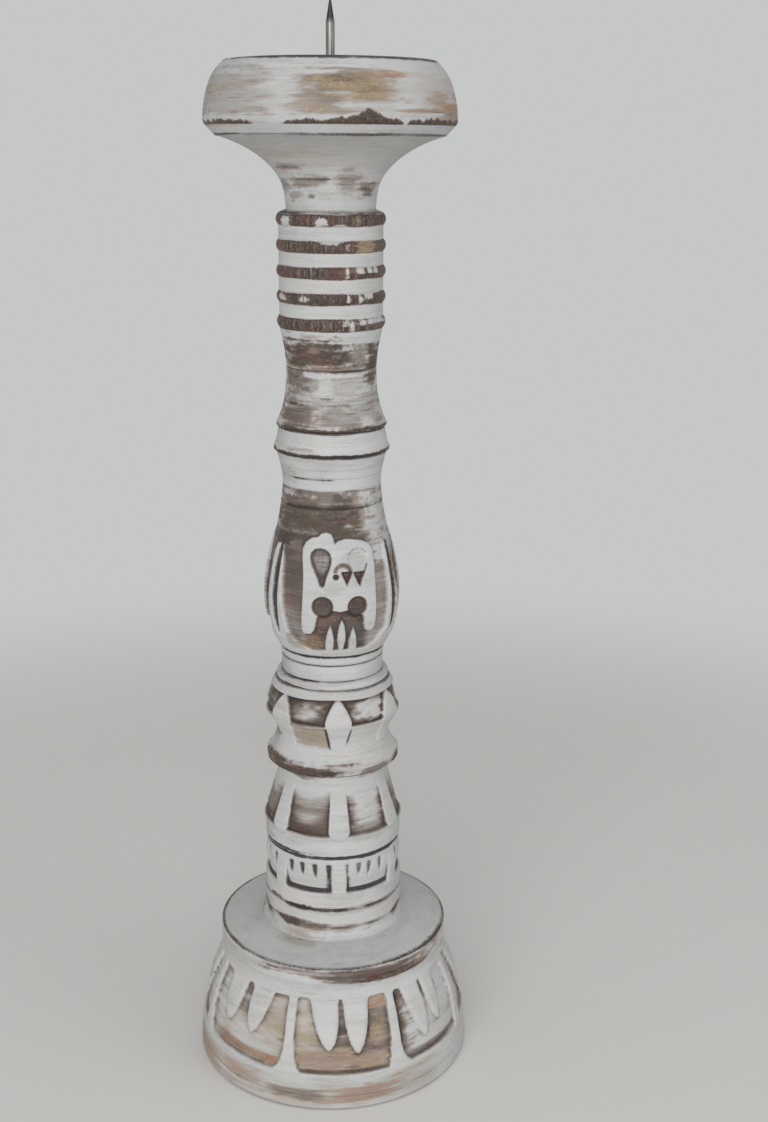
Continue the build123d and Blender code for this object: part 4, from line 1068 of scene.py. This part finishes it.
pan.seam += 0.3 * lower_edge * smooth(-28, -20, pan.turn) * smooth(30, 20, pan.turn)
pan.seam[in_dish] = 0.0
pan.rub[in_dish], pan.thin[in_dish] = 0.04, 0.2
pan.seam += 0.6 * in_dish * smooth(1.2, 0.3, np.abs(pan.out - dish_floor_radius))
pan.rub[(pan.out < 18) & (pan.up < pan_top - dish_depth - 1)] = 1.0
pan.made(whitewashed("pan_whitewash", 9.0), "candle_pan")


# Pricket spike: a steel wire nail, driven up through the pan from below until its head sits in the dowel
# hole. The drawn shank is dull grey and the ground point is darker.
def drawn_steel():
    finish, tree, shader = blank_finish("drawn_steel")
    shader.inputs["Metallic"].default_value = 1.0
    place = tree.nodes.new("ShaderNodeTexCoord").outputs["Object"]
    drawn = mottle(tree, place, 61.0, (2400, 2400, 30), 3.0)
    tarnish = mottle(tree, place, 62.0, (300, 300, 160), 4.0)
    height = joined(tree, "ShaderNodeSeparateXYZ", {0: place}).outputs["Z"]
    point = maths(tree, "MULTIPLY_ADD", tarnish, 0.4, eased(tree, height, 0.461, 0.469))
    dull = blended(tree, eased(tree, maths(tree, "ADD", drawn, tarnish), -0.3, 0.3), shade(124, 121, 118),
                   shade(168, 166, 162))
    tree.links.new(blended(tree, eased(tree, point, 0.2, 0.9), dull, shade(72, 68, 66)),
                   shader.inputs["Base Color"])
    tree.links.new(maths(tree, "MULTIPLY_ADD", tarnish, 0.4, 0.42), shader.inputs["Roughness"])
    raise_grain(tree, shader, drawn, 0.3, 0.0001)
    return finish


dress(drawn_steel(), "pricket_spike")


# Table: a plain pale disc that fades out into the background at its rim, so that no edge shows from any
# side.
table_block = bmesh.new()
bmesh.ops.create_circle(table_block, cap_ends=True, radius=0.9, segments=128)
table_mesh = bpy.data.meshes.new("table_top")
table_block.to_mesh(table_mesh)
table_block.free()
table = bpy.data.objects.new("table_top", table_mesh)
bpy.context.scene.collection.objects.link(table)
table_paint, table_tree, table_shader = blank_finish("table_paint")
table_shader.inputs["Base Color"].default_value = shade(228, 227, 224)
table_shader.inputs["Roughness"].default_value = 0.9
table_shader.inputs["Specular IOR Level"].default_value = 0.1
table_place = table_tree.nodes.new("ShaderNodeTexCoord").outputs["Object"]
table_reach = joined(table_tree, "ShaderNodeVectorMath", {0: table_place},
                     operation="LENGTH").outputs["Value"]
table_tree.links.new(eased(table_tree, table_reach, 0.36, 0.80, 1.0, 0.0), table_shader.inputs["Alpha"])
table_mesh.materials.append(table_paint)


# Light: one large soft box in front and to the left, weaker ones above and on the right, and an even grey
# room that the camera sees as the pale wall.
def soft_box(name, place, target, size, power):
    lamp = bpy.data.lights.new(name, "AREA")
    lamp.size, lamp.energy = size, power
    box = bpy.data.objects.new(name, lamp)
    box.location = place
    box.rotation_euler = (Vector(target) - Vector(place)).to_track_quat("-Z", "Y").to_euler()
    bpy.context.scene.collection.objects.link(box)


soft_box("front_soft_box", (-0.50, -1.60, 0.55), (0, 0, 0.24), 1.3, 16.5)
soft_box("top_soft_box", (0.10, -0.30, 1.50), (0, 0, 0.10), 1.2, 2.6)
soft_box("right_soft_box", (1.25, -0.90, 0.50), (0, 0, 0.24), 1.0, 3.0)
room = bpy.data.worlds.new("pale_room")
room.use_nodes = True
bpy.context.scene.world = room
room_tree = room.node_tree
rays = room_tree.nodes.new("ShaderNodeLightPath").outputs
seen = maths(room_tree, "MAXIMUM", rays["Is Camera Ray"],
             maths(room_tree, "MAXIMUM", rays["Is Glossy Ray"], rays["Is Transmission Ray"]))
wall = blended(room_tree, seen, (0.42, 0.42, 0.42, 1.0), shade(198, 199, 199))
room_tree.links.new(wall, room_tree.nodes["Background"].inputs["Color"])


# Camera: a little left of the carved front and above the vase, looking down, as the picture was taken.
camera_place = Vector((-0.05568, -0.63647, 0.41795))
yaw, pitch, roll = math.radians(7.077), math.radians(15.713), math.radians(0.358)
ahead = Vector((math.sin(yaw) * math.cos(pitch), math.cos(yaw) * math.cos(pitch), -math.sin(pitch)))
rightward = Vector((math.cos(yaw), -math.sin(yaw), 0))
upward = rightward.cross(ahead)
tilted_right = rightward * math.cos(roll) + upward * math.sin(roll)
tilted_up = upward * math.cos(roll) - rightward * math.sin(roll)
lens = bpy.data.cameras.new("picture_camera")
lens.lens, lens.sensor_width, lens.clip_start = 47.70, 36.0, 0.01
camera = bpy.data.objects.new("picture_camera", lens)
turned = Matrix((tilted_right, tilted_up, -ahead)).transposed().to_4x4()
camera.matrix_world = Matrix.Translation(camera_place) @ turned
bpy.context.scene.collection.objects.link(camera)
bpy.context.scene.camera = camera
bpy.context.scene.view_settings.view_transform = "Standard"
